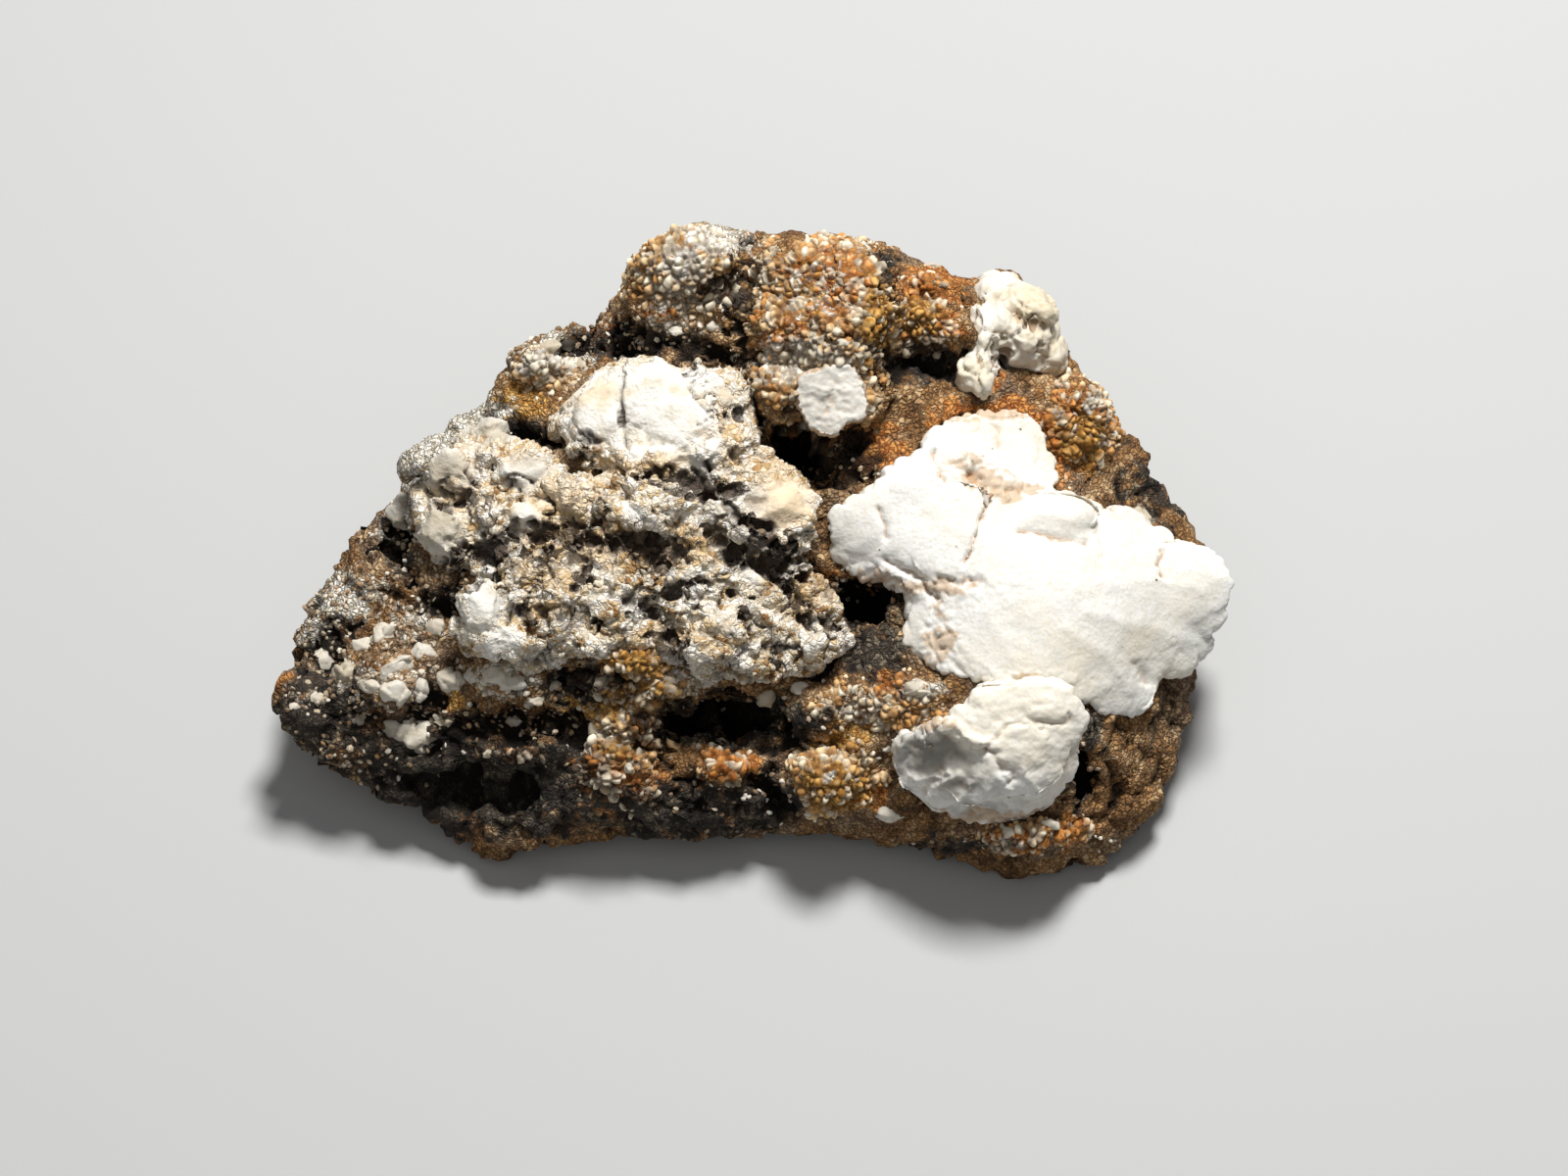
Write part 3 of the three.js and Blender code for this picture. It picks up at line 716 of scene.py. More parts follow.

# %% [markdown]
# Iron leaves rust and ochre on the grains, clay and huntite leave pale dust, and fresh rock is dark; the dark
# patches also carry painted shade in the hollows and along the foot. The places are given, and are shared by
# the rock and both sheets of beads, so a stain runs on over their edges.

# %% Rock: stains
STAINS = {
    "rust": [
        (850, 290, 60, 45, 0.8), (800, 350, 35, 40, 0.7), (955, 290, 32, 22, 1.2), (950, 335, 35, 30, 0.8),
        (1092, 440, 42, 45, 0.9), (1010, 425, 60, 14, 1.2), (890, 460, 50, 28, 0.8),
        (740, 240, 34, 10, 0.9), (680, 322, 30, 16, 0.8), (630, 800, 45, 30, 0.85), (885, 810, 26, 16, 0.9),
        (905, 700, 20, 12, 0.9), (1050, 858, 50, 10, 1), (850, 600, 40, 18, 0.8), (615, 340, 26, 14, 0.6),
        (800, 455, 30, 20, 0.7), (745, 775, 26, 22, 1.1), (530, 772, 50, 12, 0.9), (290, 690, 20, 20, 0.6),
        (1012, 385, 14, 18, 1), (1150, 700, 40, 20, 0.5), (1090, 842, 30, 14, 0.8),
    ],
    "ochre": [
        (528, 412, 28, 14, 1.3), (655, 685, 44, 34, 1), (600, 722, 34, 18, 1), (855, 800, 32, 24, 1.1),
        (820, 300, 40, 30, 0.55), (935, 325, 24, 20, 1), (1105, 450, 24, 30, 0.9), (895, 320, 18, 40, 1),
        (715, 275, 20, 14, 1), (870, 745, 30, 20, 0.8), (570, 640, 30, 16, 0.5), (455, 718, 30, 10, 1),
        (640, 760, 24, 14, 0.8),
    ],
    "pale": [
        (735, 243, 30, 18, 1.2), (695, 270, 28, 18, 1), (690, 300, 44, 34, 0.55), (830, 300, 70, 50, 0.5),
        (815, 370, 56, 26, 0.9), (440, 470, 40, 40, 1.2), (480, 430, 40, 26, 1.2), (570, 362, 40, 24, 1),
        (408, 535, 20, 36, 1.1), (640, 320, 40, 24, 0.3), (520, 690, 34, 18, 1), (880, 245, 14, 10, 0.6),
        (1160, 530, 20, 12, 1.1), (870, 725, 40, 18, 0.6), (350, 608, 44, 28, 0.9), (325, 650, 34, 24, 0.8),
        (345, 690, 30, 24, 0.8), (305, 715, 24, 26, 0.6), (420, 640, 40, 30, 0.6), (400, 700, 60, 30, 0.6),
        (705, 690, 34, 16, 0.8), (1030, 860, 30, 8, 0.6), (848, 795, 10, 9, 0.9), (940, 705, 24, 12, 0.9),
        (1115, 410, 12, 14, 0.8), (640, 800, 20, 20, 0.5), (690, 332, 40, 10, 0.8),
    ],
    "dark_rock_and_shade": DARK_ROCK_AND_SHADE,
}
for piece in (rock, upper_beads, lower_beads):
    for stain, patches in STAINS.items():
        paint(piece, stain, patches)
print("stains:", {stain: len(patches) for stain, patches in STAINS.items()})

# %% [markdown]
# ## The smooth white huntite
# The main mass is compact huntite, smooth as unglazed porcelain, with a scalloped edge where its rounded
# lobes stopped growing. Lobes are set along the edge of its solid, one skin is drawn over them, and the
# folds, creases and faint ridges are sculpted by strokes.


# %% Main mass
def grown(node, name, places, voxel, passes, kind=ROUND, swell=0.35, seed=2, sunk=0.5):
    """A huntite piece: its solid, swollen over the gap to the rock, with lobes grown together on it."""
    piece = copy_of(node, name)
    apply(piece, "DISPLACE", strength=swell * MM, mid_level=0)
    skin(piece, 0.45, 6)
    piece = join([piece] + lumps(places, surface_of(piece), kind, seed, sunk), name)
    return without_crumbs(skin(piece, voxel, passes))


MAIN_LOBES = [
    # the scalloped right edge, from the top clockwise
    (1150, 532, 2.6, 2.0, 0.9, -0.4, 0), (1172, 552, 2.6, 2.2, 1.0, -0.5, 20),
    (1200, 568, 2.4, 1.8, 1.0, -0.5, 0), (1226, 574, 2.2, 1.8, 1.1, -0.6, 0),
    (1240, 598, 2.0, 2.4, 1.1, -0.6, 0), (1234, 630, 2.2, 2.2, 1.1, -0.6, 0),
    (1222, 656, 2.0, 2.0, 1.1, -0.6, 0), (1202, 676, 2.4, 1.8, 1.1, -0.5, 0),
    (1174, 684, 2.0, 1.8, 1.1, -0.5, 0), (1160, 706, 2.0, 2.0, 1.1, -0.5, 0),
    (1142, 716, 2.2, 1.6, 1.0, -0.5, 0), (1112, 700, 2.4, 1.6, 1.0, -0.5, 0),
    (1080, 692, 2.4, 1.4, 1.0, -0.5, 0), (1046, 686, 2.6, 1.4, 1.0, -0.5, 0),
    # the upper left lobes
    (1008, 548, 1.6, 3.6, 0.6, -0.1, 18), (1014, 514, 2.0, 1.8, 0.7, 0, 0), (975, 522, 3.0, 2.8, 0.8, 0, 0),
    (940, 500, 3.0, 2.2, 0.8, 0, 0), (968, 560, 3.2, 3.0, 0.7, 0, 0), (922, 556, 3.4, 2.8, 0.8, 0, 20),
    (885, 542, 2.6, 2.2, 0.9, -0.1, 0), (862, 534, 1.7, 1.8, 0.9, -0.2, 0),
    (890, 578, 2.6, 1.6, 0.8, -0.3, 0), (948, 594, 2.6, 1.8, 0.7, -0.4, 0),
    (1020, 462, 3.6, 2.2, 0.8, 0, 0), (978, 466, 2.6, 2.0, 0.8, 0, 0), (1046, 446, 2.2, 1.8, 0.9, -0.1, 0),
    (1060, 478, 2.0, 2.2, 0.8, -0.2, 0), (1000, 440, 3.0, 1.4, 0.8, -0.2, 0),
    (952, 486, 1.8, 1.6, 0.8, -0.1, 0),
    # the lower left edge, and the two beads of huntite that lie apart from the mass
    (975, 690, 2.2, 1.4, 0.8, -0.5, 0),
    (843, 517, 1.5, 1.5, 1.3, 0.2, 0), (828, 552, 1.2, 1.1, 1.0, 0, 0),
]
main_mass = grown("huntite_main_mass", "huntite_main_mass_grown", MAIN_LOBES, 0.24, 12)
flatten(main_mass, 4, 0.6, 0.5)
apply(main_mass, "SMOOTH", factor=0.5, iterations=4)
sculpt(main_mass, [
    # the crease between the lobes and the plate, the fold's shade line and the pit under the upper lobes
    ([(1008, 505), (1004, 528), (992, 552), (985, 574)], 0.22, -0.6),
    ([(1062, 520), (1092, 526)], 1.4, 0.35), ([(1040, 538), (1076, 549), (1108, 554)], 0.35, -0.5),
    ([(988, 482), (996, 490)], 0.5, -0.9), ([(1000, 498), (1040, 502)], 0.4, -0.3),
    ([(960, 590), (1000, 596)], 0.5, -0.4), ([(905, 572), (935, 588), (952, 610)], 0.5, -0.5),
    ([(898, 520), (905, 548)], 0.3, -0.4), ([(950, 462), (965, 492)], 0.3, -0.5),
    ([(1012, 436), (1020, 455)], 0.3, -0.35),
    # notches of the scalloped edge
    ([(1190, 590), (1184, 566)], 0.3, -0.5), ([(1128, 566), (1122, 545)], 0.4, -0.2),
    ([(1170, 698), (1160, 680)], 0.5, -0.25),
    # faint ridges that spread from the plate's middle
    ([(1100, 600), (1160, 590), (1225, 600)], 0.8, 0.12),
    ([(1110, 625), (1170, 640), (1215, 655)], 0.8, 0.12),
    ([(1090, 640), (1130, 670), (1150, 700)], 0.8, 0.14),
    ([(1010, 625), (1030, 660), (1040, 685)], 0.7, 0.1), ([(970, 640), (985, 665), (1010, 684)], 0.5, 0.1),
    ([(950, 640), (965, 668), (985, 690)], 0.4, -0.2), ([(1060, 600)], 4.6, -0.4),
    ([(1160, 600)], 4.0, 0.2),
], warp=2)
GRAINY_ON_MAIN_MASS = [
    (1000, 492, 34, 12, 1), (1036, 500, 34, 7, 1), (960, 655, 14, 40, 0.8), (985, 470, 20, 10, 0.8),
    (950, 600, 50, 12, 0.9), (880, 592, 40, 12, 0.9), (1046, 694, 70, 8, 0.5), (1010, 424, 50, 8, 0.9),
    (1050, 690, 20, 8, 0.8),
]
paint(main_mass, "grainy", GRAINY_ON_MAIN_MASS, base=0.03)
keep(main_mass, "rim", turned_away(main_mass, 1.5))
relief(main_mass, [("cloud", 8.0, 0.2, None), ("cloud", 3.0, 0.1, None), ("cloud", 1.0, 0.06, None),
                   ("beads", 2.2, 0.5, "rim"), ("beads", 1.1, 0.4, "grainy")], seed=4)
print("main mass:", triangles_of(main_mass), "triangles")

# %% [markdown]
# The lower mass is of the same kind, but smaller and more curved, with a shaded hollow at its left, a
# thin rim over the hollow and a fan of low ridges along its foot. It is made in the same way as the main
# mass.

# %% Lower mass
LOWER_LOBES = [
    (1056, 712, 4.0, 2.2, 1.5, 0, 0), (1086, 738, 2.2, 2.6, 1.3, -0.2, 0), (1016, 718, 2.8, 1.8, 1.3, 0, 0),
    (994, 738, 2.2, 2.0, 1.3, 0, 0), (1045, 765, 4.4, 4.0, 1.6, 0, 0), (1076, 775, 2.4, 3.0, 1.2, -0.2, 0),
    (1060, 806, 2.4, 2.2, 1.3, -0.2, 0), (1034, 822, 2.4, 1.6, 1.2, -0.2, 0),
    (1000, 828, 2.4, 1.3, 1.1, -0.2, 0), (965, 814, 2.2, 1.5, 1.1, -0.2, 0),
    (936, 797, 1.9, 1.4, 1.1, -0.2, 0), (922, 770, 1.5, 1.9, 1.1, -0.3, 0), (992, 795, 2.8, 2.4, 1.2, 0, 0),
    (975, 746, 3.0, 1.1, 1.3, 0.3, 22),
]
lower_mass = grown("huntite_lower_mass", "huntite_lower_mass_grown", LOWER_LOBES, 0.22, 10)
flatten(lower_mass, 3, 0.5, 0.4)
sculpt(lower_mass, [
    # the shaded hollow at the left with a raised rim over it, and the fan of ridges along the foot
    ([(944, 770), (978, 784)], 1.9, -0.5), ([(924, 764), (946, 746), (976, 742), (1006, 756)], 0.6, 0.9),
    ([(975, 792), (950, 812)], 0.4, 0.3), ([(990, 796), (978, 826)], 0.4, 0.3),
    ([(1006, 796), (1008, 830)], 0.45, 0.3), ([(1022, 792), (1036, 826)], 0.45, 0.25),
    ([(1040, 790), (1060, 815)], 0.4, 0.2), ([(964, 790), (936, 798)], 0.3, 0.25),
    ([(1004, 762), (1020, 780), (1030, 800)], 0.5, -0.45),
    ([(1000, 770), (1016, 752), (1040, 742)], 0.3, -0.3),
    ([(1092, 728), (1070, 738), (1046, 736)], 0.25, -0.3),
], warp=4)
paint(lower_mass, "grainy", [(1000, 834, 90, 8, 0.9), (940, 738, 30, 12, 0.9)], base=0.03)
# Painted shade: grey laid over the shaded hollow at the left and along the foot.
paint(lower_mass, "grey_and_shade", [(950, 774, 32, 20, 1.1), (985, 800, 34, 12, 0.7), (1000, 826, 50, 8, 0.6)])
keep(lower_mass, "rim", turned_away(lower_mass, 1.5))
relief(lower_mass, [("cloud", 5.0, 0.3, None), ("cloud", 1.8, 0.3, None), ("cloud", 0.8, 0.14, None),
                    ("beads", 2.0, 0.4, "rim"), ("beads", 1.0, 0.35, "grainy")], seed=7)
print("lower mass:", triangles_of(lower_mass), "triangles")

# %% [markdown]
# At the upper right the huntite grew as a cluster of small uneven lobes with brown gaps between them.
# Knobbly lumps are grown together with little smoothing, so the lobes stay apart.

# %% Upper knob
KNOB_LOBES = [
    (1012, 300, 2.2, 1.8, 2.0, 0, 0), (1050, 318, 2.6, 1.6, 2.0, 0, -20),
    (1042, 346, 3.0, 2.8, 2.2, 0.2, 0), (1070, 350, 1.4, 2.2, 1.6, -0.2, 0),
    (1062, 375, 1.8, 1.4, 1.6, -0.2, 0), (1068, 328, 0.9, 0.8, 1.2, 0.2, 0),
    (1022, 330, 1.8, 2.4, 1.8, 0.2, 0), (1004, 348, 1.4, 2.6, 1.6, 0, 0), (985, 380, 1.9, 2.1, 1.6, 0, 0),
    (1004, 392, 1.3, 1.5, 1.4, 0, 0), (970, 402, 1.7, 0.9, 1.1, 0, -20), (988, 406, 1.5, 0.8, 1.1, 0, -20),
    (1035, 380, 1.2, 1.2, 1.4, 0, 0), (1030, 410, 1.2, 1.6, 1.2, 0, 30),
]
upper_knob = grown("huntite_upper_knob", "huntite_upper_knob_grown", KNOB_LOBES, 0.22, 2, KNOBBLY)
sculpt(upper_knob, [([(1040, 318), (1042, 322)], 0.5, -1.0), ([(1024, 360), (1020, 400)], 0.5, -0.9),
                    ([(1000, 365), (996, 380)], 0.3, -0.6), ([(1054, 332), (1058, 362)], 0.3, -0.4)])
paint(upper_knob, "grainy", [(1050, 320, 40, 30, 0.4)], base=0.1)
relief(upper_knob, [("facets", 3.0, 0.6, None), ("cloud", 2.0, 0.5, None), ("cloud", 0.9, 0.2, None),
                    ("beads", 0.9, 0.25, "grainy")], seed=9)
print("upper knob:", triangles_of(upper_knob), "triangles")

# %% [markdown]
# One chip has broken off flat. Its solid already has the face, so it is only rounded a little, its seen
# side is drawn to a plane, and two low steps of the break are sculpted on it.

# %% Cleaved chip
chip = copy_of("huntite_cleaved_chip", "huntite_cleaved_chip_grown")
apply(chip, "DISPLACE", strength=0.25 * MM, mid_level=0)
skin(chip, 0.18, 3)
flatten(chip, 1, 0.9, 0.4)
sculpt(chip, [([(850, 395), (838, 440)], 0.3, -0.15), ([(822, 400), (880, 392)], 0.3, 0.12)])
keep(chip, "grainy", turned_away(chip, 1.6))
relief(chip, [("cloud", 2.2, 0.7, None), ("cloud", 0.7, 0.22, None), ("beads", 1.0, 0.4, "grainy")], seed=3)
print("chip:", triangles_of(chip), "triangles")

# %% [markdown]
# ## The granular crust
# Left of the middle the huntite is not smooth but crumbly: angular lumps a few millimetres across, some with
# clean faces, most of them rough, and darkened in every gap by painted shade. The lumps are placed from the
# angular kind, one skin is drawn over them, hollows are sculpted, and facets, crumbling and beads are grown
# on it.

# %% Crust
CRUST_LOBES = [
    # the bright smooth mass and its fissured right half
    (612, 425, 3.6, 4.2, 1.8, 0.3, 0), (655, 410, 4.0, 4.4, 2.2, 0.7, 0), (695, 425, 3.8, 4.4, 2.2, 0.7, 0),
    (668, 383, 2.6, 1.8, 1.8, 0.3, 0), (708, 388, 2.2, 2.0, 1.6, 0.3, 0), (742, 405, 2.8, 2.4, 1.8, 0.2, 0),
    (750, 445, 2.8, 2.4, 1.8, 0.2, 0), (715, 462, 3.0, 2.0, 1.8, 0.2, 0), (676, 470, 2.4, 1.8, 1.8, 0.3, 0),
    # the cream ridge beside the upper hollow
    (770, 492, 3.2, 2.4, 1.8, 0.3, 35), (800, 520, 3.0, 2.2, 1.8, 0.3, 50),
    (812, 548, 2.0, 2.4, 1.6, 0.2, 0), (738, 520, 3.0, 2.2, 1.8, 0.2, 0), (770, 552, 2.6, 2.2, 1.6, 0, 0),
    # grey blocks with clean faces at the left
    (502, 430, 2.4, 1.8, 2.0, 0.3, 30), (455, 478, 3.0, 2.6, 2.2, 0.3, 35),
    (478, 500, 2.4, 2.0, 2.0, 0.2, 0), (535, 480, 3.4, 2.4, 2.2, 0.5, 0), (500, 465, 2.0, 1.6, 1.8, 0.3, 0),
    (452, 540, 2.8, 3.4, 2.0, 0.3, 0), (430, 518, 1.6, 2.0, 1.6, 0.2, 0),
    (535, 525, 2.4, 1.6, 1.8, 0.5, 10), (500, 528, 2.0, 1.8, 1.8, 0.2, 0),
    (590, 505, 2.6, 2.4, 2.0, 0.5, 0), (632, 518, 2.4, 2.0, 2.0, 0.5, 0), (565, 455, 2.4, 1.8, 1.8, 0.3, 0),
    (612, 478, 2.2, 1.6, 1.8, 0.3, 0), (650, 492, 2.0, 1.4, 1.6, 0.3, 0), (666, 530, 2.6, 2.4, 1.8, 0.3, 0),
    (700, 545, 2.4, 2.0, 1.6, 0.2, 0),
    # the white knob at the lower left, and the band of lumps along the lower edge
    (492, 618, 2.6, 3.6, 2.2, 0.5, 10), (512, 652, 4.0, 2.4, 2.2, 0.4, 0),
    (478, 645, 1.8, 2.4, 1.8, 0.2, 0), (530, 590, 2.6, 2.0, 1.8, 0.3, 0), (558, 572, 2.2, 1.8, 1.8, 0.2, 0),
    (575, 605, 3.4, 2.8, 1.8, 0.3, 0), (560, 640, 3.0, 2.0, 1.8, 0.4, 0), (605, 655, 3.0, 1.9, 2.0, 0.5, 0),
    (622, 620, 3.0, 2.6, 1.8, 0.3, 0), (648, 648, 2.2, 1.9, 1.8, 0.5, 0), (655, 595, 2.8, 2.2, 1.8, 0.2, 0),
    (695, 582, 2.8, 2.2, 1.8, 0.3, 0), (735, 585, 2.8, 2.4, 1.6, 0.2, 0), (700, 622, 2.8, 2.2, 1.8, 0.3, 0),
    (742, 640, 3.4, 2.6, 2.0, 0.5, 0), (716, 660, 2.6, 2.0, 1.8, 0.4, 0), (785, 640, 3.2, 2.6, 2.0, 0.4, 0),
    (785, 595, 2.4, 2.0, 1.6, 0, 0), (828, 662, 3.2, 2.4, 2.0, 0.4, 0), (778, 678, 3.0, 1.8, 1.8, 0.4, 0),
    (850, 688, 2.2, 1.6, 1.8, 0.3, 0), (820, 625, 2.0, 1.8, 1.4, 0, 0),
]
SMALL_LUMPS = 150  # strewn between the placed ones
rng = np.random.default_rng(17)
crust_low, crust_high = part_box("huntite_granular_crust")
for x, y, size in rng.uniform((430, 460, 0.7), (850, 690, 1.5), (SMALL_LUMPS, 3)).tolist():
    hit = solids.ray_cast(EYE, through(x, y))[0]
    if hit and all(a <= h <= b for a, h, b in zip(crust_low, hit, crust_high)):
        CRUST_LOBES.append((x, y, size, size * 0.8, size, 0.4, 0))
crust = grown("huntite_granular_crust", "huntite_granular_crust_grown", CRUST_LOBES, 0.24, 1, BLOCK,
              swell=0.4, seed=3, sunk=0.42)
HAIRLINE = ([(635, 372), (632, 396), (634, 430), (640, 460)], 0.28, -0.9)
sculpt(crust, [HAIRLINE], warp=1.5)
sculpt(crust, [
    # hollows and gaps between the lumps
    ([(500, 562), (520, 572)], 1.1, -2.6), ([(465, 562), (478, 566)], 0.7, -1.8),
    ([(455, 500), (480, 496)], 0.8, -1.8), ([(505, 492), (530, 500), (552, 490)], 0.3, -1.2),
    ([(585, 465), (600, 475)], 0.9, -2.0), ([(556, 548), (590, 545)], 1.2, -2.2),
    ([(612, 545), (655, 552)], 1.1, -2.4), ([(655, 488), (700, 492)], 0.6, -1.8),
    ([(700, 500), (730, 505), (765, 492)], 0.6, -1.6), ([(730, 515), (740, 540)], 0.5, -1.2),
    ([(712, 488), (742, 512), (776, 548), (812, 590)], 0.7, -2.4), ([(745, 560), (800, 572)], 0.9, -1.8),
    ([(640, 565), (690, 560)], 0.7, -1.8), ([(600, 580), (620, 596)], 0.5, -1.4),
    ([(540, 610), (545, 640)], 0.5, -1.6), ([(590, 628), (600, 645)], 0.5, -1.4),
    ([(660, 615), (672, 640)], 0.6, -1.6), ([(760, 605), (765, 640)], 0.5, -1.4),
    ([(800, 612), (850, 640)], 0.8, -2.0), ([(430, 550), (440, 575)], 0.6, -1.6),
    ([(445, 588), (480, 592)], 0.7, -1.8), ([(520, 548), (505, 530)], 0.4, -1.0),
    ([(722, 372), (712, 392), (724, 420), (735, 440)], 0.3, -0.9), ([(700, 440), (712, 462)], 0.3, -0.8),
    ([(760, 420), (742, 432)], 0.3, -0.8), ([(470, 530), (500, 512), (520, 540)], 0.3, -1.0),
    ([(560, 500), (566, 535)], 0.4, -1.4), ([(612, 500), (614, 535)], 0.4, -1.4),
    ([(690, 600), (720, 606)], 0.5, -1.2), ([(805, 560), (790, 585)], 0.5, -1.4),
    ([(686, 650), (694, 672)], 0.5, -1.6), ([(800, 660), (806, 685)], 0.5, -1.4),
], share=0.55, deepest=1.3, warp=12)
CRUST_SMOOTH = [
    (620, 415, 48, 38, 1), (685, 420, 40, 44, 1.2), (725, 455, 16, 14, 0.8), (640, 455, 20, 10, 0.8),
    (668, 385, 24, 14, 1), (704, 388, 18, 16, 1), (790, 515, 34, 28, 1), (498, 430, 26, 20, 1),
    (450, 475, 30, 26, 1), (448, 545, 24, 34, 1), (535, 525, 18, 12, 1), (492, 615, 16, 26, 1),
    (535, 482, 26, 18, 0.9), (740, 400, 16, 14, 0.8), (700, 470, 20, 12, 0.8), (640, 520, 14, 12, 0.7),
    (600, 500, 14, 10, 0.6), (510, 655, 24, 12, 0.7), (740, 520, 18, 12, 0.8), (610, 600, 10, 10, 0.7),
    (770, 590, 14, 12, 0.8), (700, 590, 14, 10, 0.6), (560, 510, 12, 10, 0.6), (742, 640, 16, 12, 0.6),
    (600, 650, 14, 10, 0.6), (780, 560, 14, 12, 0.7),
]
clean = paint(crust, "smooth", CRUST_SMOOTH)
keep(crust, "rough", np.clip(1.05 - clean, 0.08, 1))
beady = np.clip(wander(points_of(crust), 6, 40) * 1.4 + 0.6, 0, 1) * np.clip(1 - clean * 1.6, 0, 1)
keep(crust, "beady", beady)
paint(crust, "tan", [
    (470, 505, 60, 50, 0.6), (575, 515, 40, 30, 1), (600, 555, 70, 24, 0.9), (700, 560, 50, 24, 0.7),
    (560, 585, 40, 18, 0.9), (735, 370, 40, 20, 0.5), (745, 440, 30, 40, 0.6), (795, 500, 34, 44, 1),
    (560, 620, 30, 16, 0.6), (650, 480, 50, 16, 0.8), (690, 650, 60, 14, 0.7), (820, 610, 40, 26, 0.8),
    (620, 640, 40, 18, 0.5), (530, 460, 50, 30, 0.6), (590, 400, 30, 16, 0.6),
])
# The left blocks' own grey tone.
paint(crust, "grey_and_shade", [(450, 510, 44, 70, 1), (500, 440, 50, 34, 0.9), (540, 480, 40, 24, 0.7)])
relief(crust, [("facets", 3.6, 0.9, "rough"), ("cloud", 2.6, 0.45, "rough"), ("beads", 0.85, 0.4, "beady"),
               ("cloud", 1.0, 0.5, "rough"), ("facets", 7.0, 0.35, "rough"),
               ("cloud", 1.5, 0.14, None)], seed=13)
print("crust:", triangles_of(crust), "triangles")

# %% [markdown]
# ## Nodules and fragments
# White angular nodules a few millimetres across sit in the dark rock and painted shade at the lower left,
# with finer fragments strewn between them. They are too small to be solids of their own, so they are meshes
# grown on the rock.

# %% Nodules
NODULES = [
    (396, 645, 2.2, 1.4, 1.4, 0.6, 30), (368, 662, 1.6, 1.4, 1.3, 0.5, 0),
    (404, 680, 2.2, 1.2, 1.4, 0.6, 35), (430, 666, 1.4, 1.1, 1.2, 0.5, 0),
    (402, 706, 1.8, 1.6, 1.5, 0.7, 0), (427, 700, 1.3, 1.6, 1.4, 0.6, 0), (462, 697, 1.6, 1.3, 1.3, 0.6, 0),
    (481, 690, 0.8, 0.8, 0.8, 0.5, 0), (404, 745, 2.1, 1.7, 1.6, 0.6, 0), (430, 754, 2.0, 1.9, 1.6, 0.6, 0),
    (352, 686, 1.8, 1.2, 1.2, 0.5, 0), (330, 674, 1.4, 1.4, 1.2, 0.5, 0), (444, 640, 1.2, 1.0, 1.0, 0.4, 0),
    (378, 700, 1.1, 0.9, 1.0, 0.5, 0), (322, 712, 1.2, 0.9, 0.9, 0.4, 0), (300, 722, 0.8, 0.7, 0.8, 0.3, 0),
    (365, 735, 1.0, 0.8, 0.9, 0.4, 0), (450, 735, 1.1, 0.9, 0.9, 0.4, 0), (525, 735, 1.2, 0.8, 0.9, 0.4, 0),
    (545, 715, 1.2, 0.9, 0.9, 0.4, 0), (565, 698, 0.9, 0.7, 0.8, 0.4, 0), (608, 746, 0.9, 1.3, 1.0, 0.5, 0),
    (640, 786, 0.8, 0.7, 0.7, 0.3, 0), (782, 712, 1.2, 1.0, 1.0, 0.5, 0), (815, 702, 1.0, 0.8, 0.8, 0.3, 0),
    (938, 704, 1.8, 1.2, 1.1, 0.3, 0), (905, 712, 1.0, 0.8, 0.8, 0.3, 0), (908, 830, 1.8, 0.9, 1.0, 0.4, 0),
    (722, 698, 1.1, 0.8, 0.9, 0.3, 0), (762, 812, 0.7, 0.6, 0.6, 0.2, 0), (905, 763, 0.8, 0.7, 0.8, 0.2, 0),
    (1073, 842, 1.2, 0.8, 0.9, 0.3, 0), (1030, 850, 0.9, 0.7, 0.8, 0.3, 0),
    (1082, 752, 1.1, 0.9, 0.9, 0.3, 0), (1090, 768, 0.8, 0.8, 0.8, 0.2, 0),
    (655, 350, 1.1, 0.8, 1.0, 0.4, 0), (752, 362, 0.7, 1.3, 0.9, 0.3, 0), (690, 338, 1.1, 0.6, 0.9, 0.4, 0),
    (728, 334, 1.0, 0.7, 0.8, 0.4, 0), (1158, 528, 2.2, 1.4, 0.9, 0, 0), (950, 272, 1.5, 0.7, 1.0, 0.2, 0),
    (505, 690, 1.6, 1.2, 1.3, 0.6, 0), (520, 698, 1.4, 1.0, 1.2, 0.5, 0),
    (560, 355, 1.6, 1.0, 1.2, 0.4, 20), (595, 372, 1.4, 1.0, 1.1, 0.4, 0),
    (410, 520, 1.4, 2.2, 1.4, 0.3, -20), (862, 350, 0.9, 0.6, 0.8, 0.3, 0),
    (800, 362, 0.8, 0.6, 0.7, 0.3, 0),
]
rock_surface = surface_of(rock, upper_beads, lower_beads)
nodules = join(lumps(NODULES, rock_surface, BLOCK, seed=6, sunk=0.75), "huntite_nodules")
skin(nodules, 0.16, 1)
relief(nodules, [("facets", 2.0, 0.3, None), ("cloud", 1.2, 0.16, None)], seed=5)
print("nodules:", triangles_of(nodules), "triangles")

# %% [markdown]
# Fine white bits, under half a millimetre, lie scattered round the nodules. They are strewn by nodes, and
# only where no huntite covers the rock.

# %% Fragments
paint(rock, "strewn", [
    (390, 680, 60, 44, 1), (360, 610, 40, 26, 0.8), (330, 700, 40, 30, 0.5), (560, 370, 44, 24, 0.8),
    (430, 560, 30, 40, 0.7), (430, 740, 40, 26, 0.5), (540, 720, 60, 24, 0.5), (700, 690, 60, 16, 0.8),
    (690, 335, 60, 12, 0.8), (620, 390, 40, 20, 0.6), (1040, 858, 60, 10, 0.7), (900, 740, 60, 26, 0.5),
    (1090, 760, 12, 30, 0.6), (880, 490, 60, 16, 0.3), (500, 590, 60, 20, 0.6), (850, 600, 40, 24, 0.5),
    (760, 800, 50, 30, 0.3), (350, 770, 60, 20, 0.4),
])
keep(rock, "strewn", kept_on(rock, "strewn") * (1 - covered(rock)))
fragments = strewn(rock, "huntite_fragments", 170, 0.12, 0.42, "strewn", seed=31)
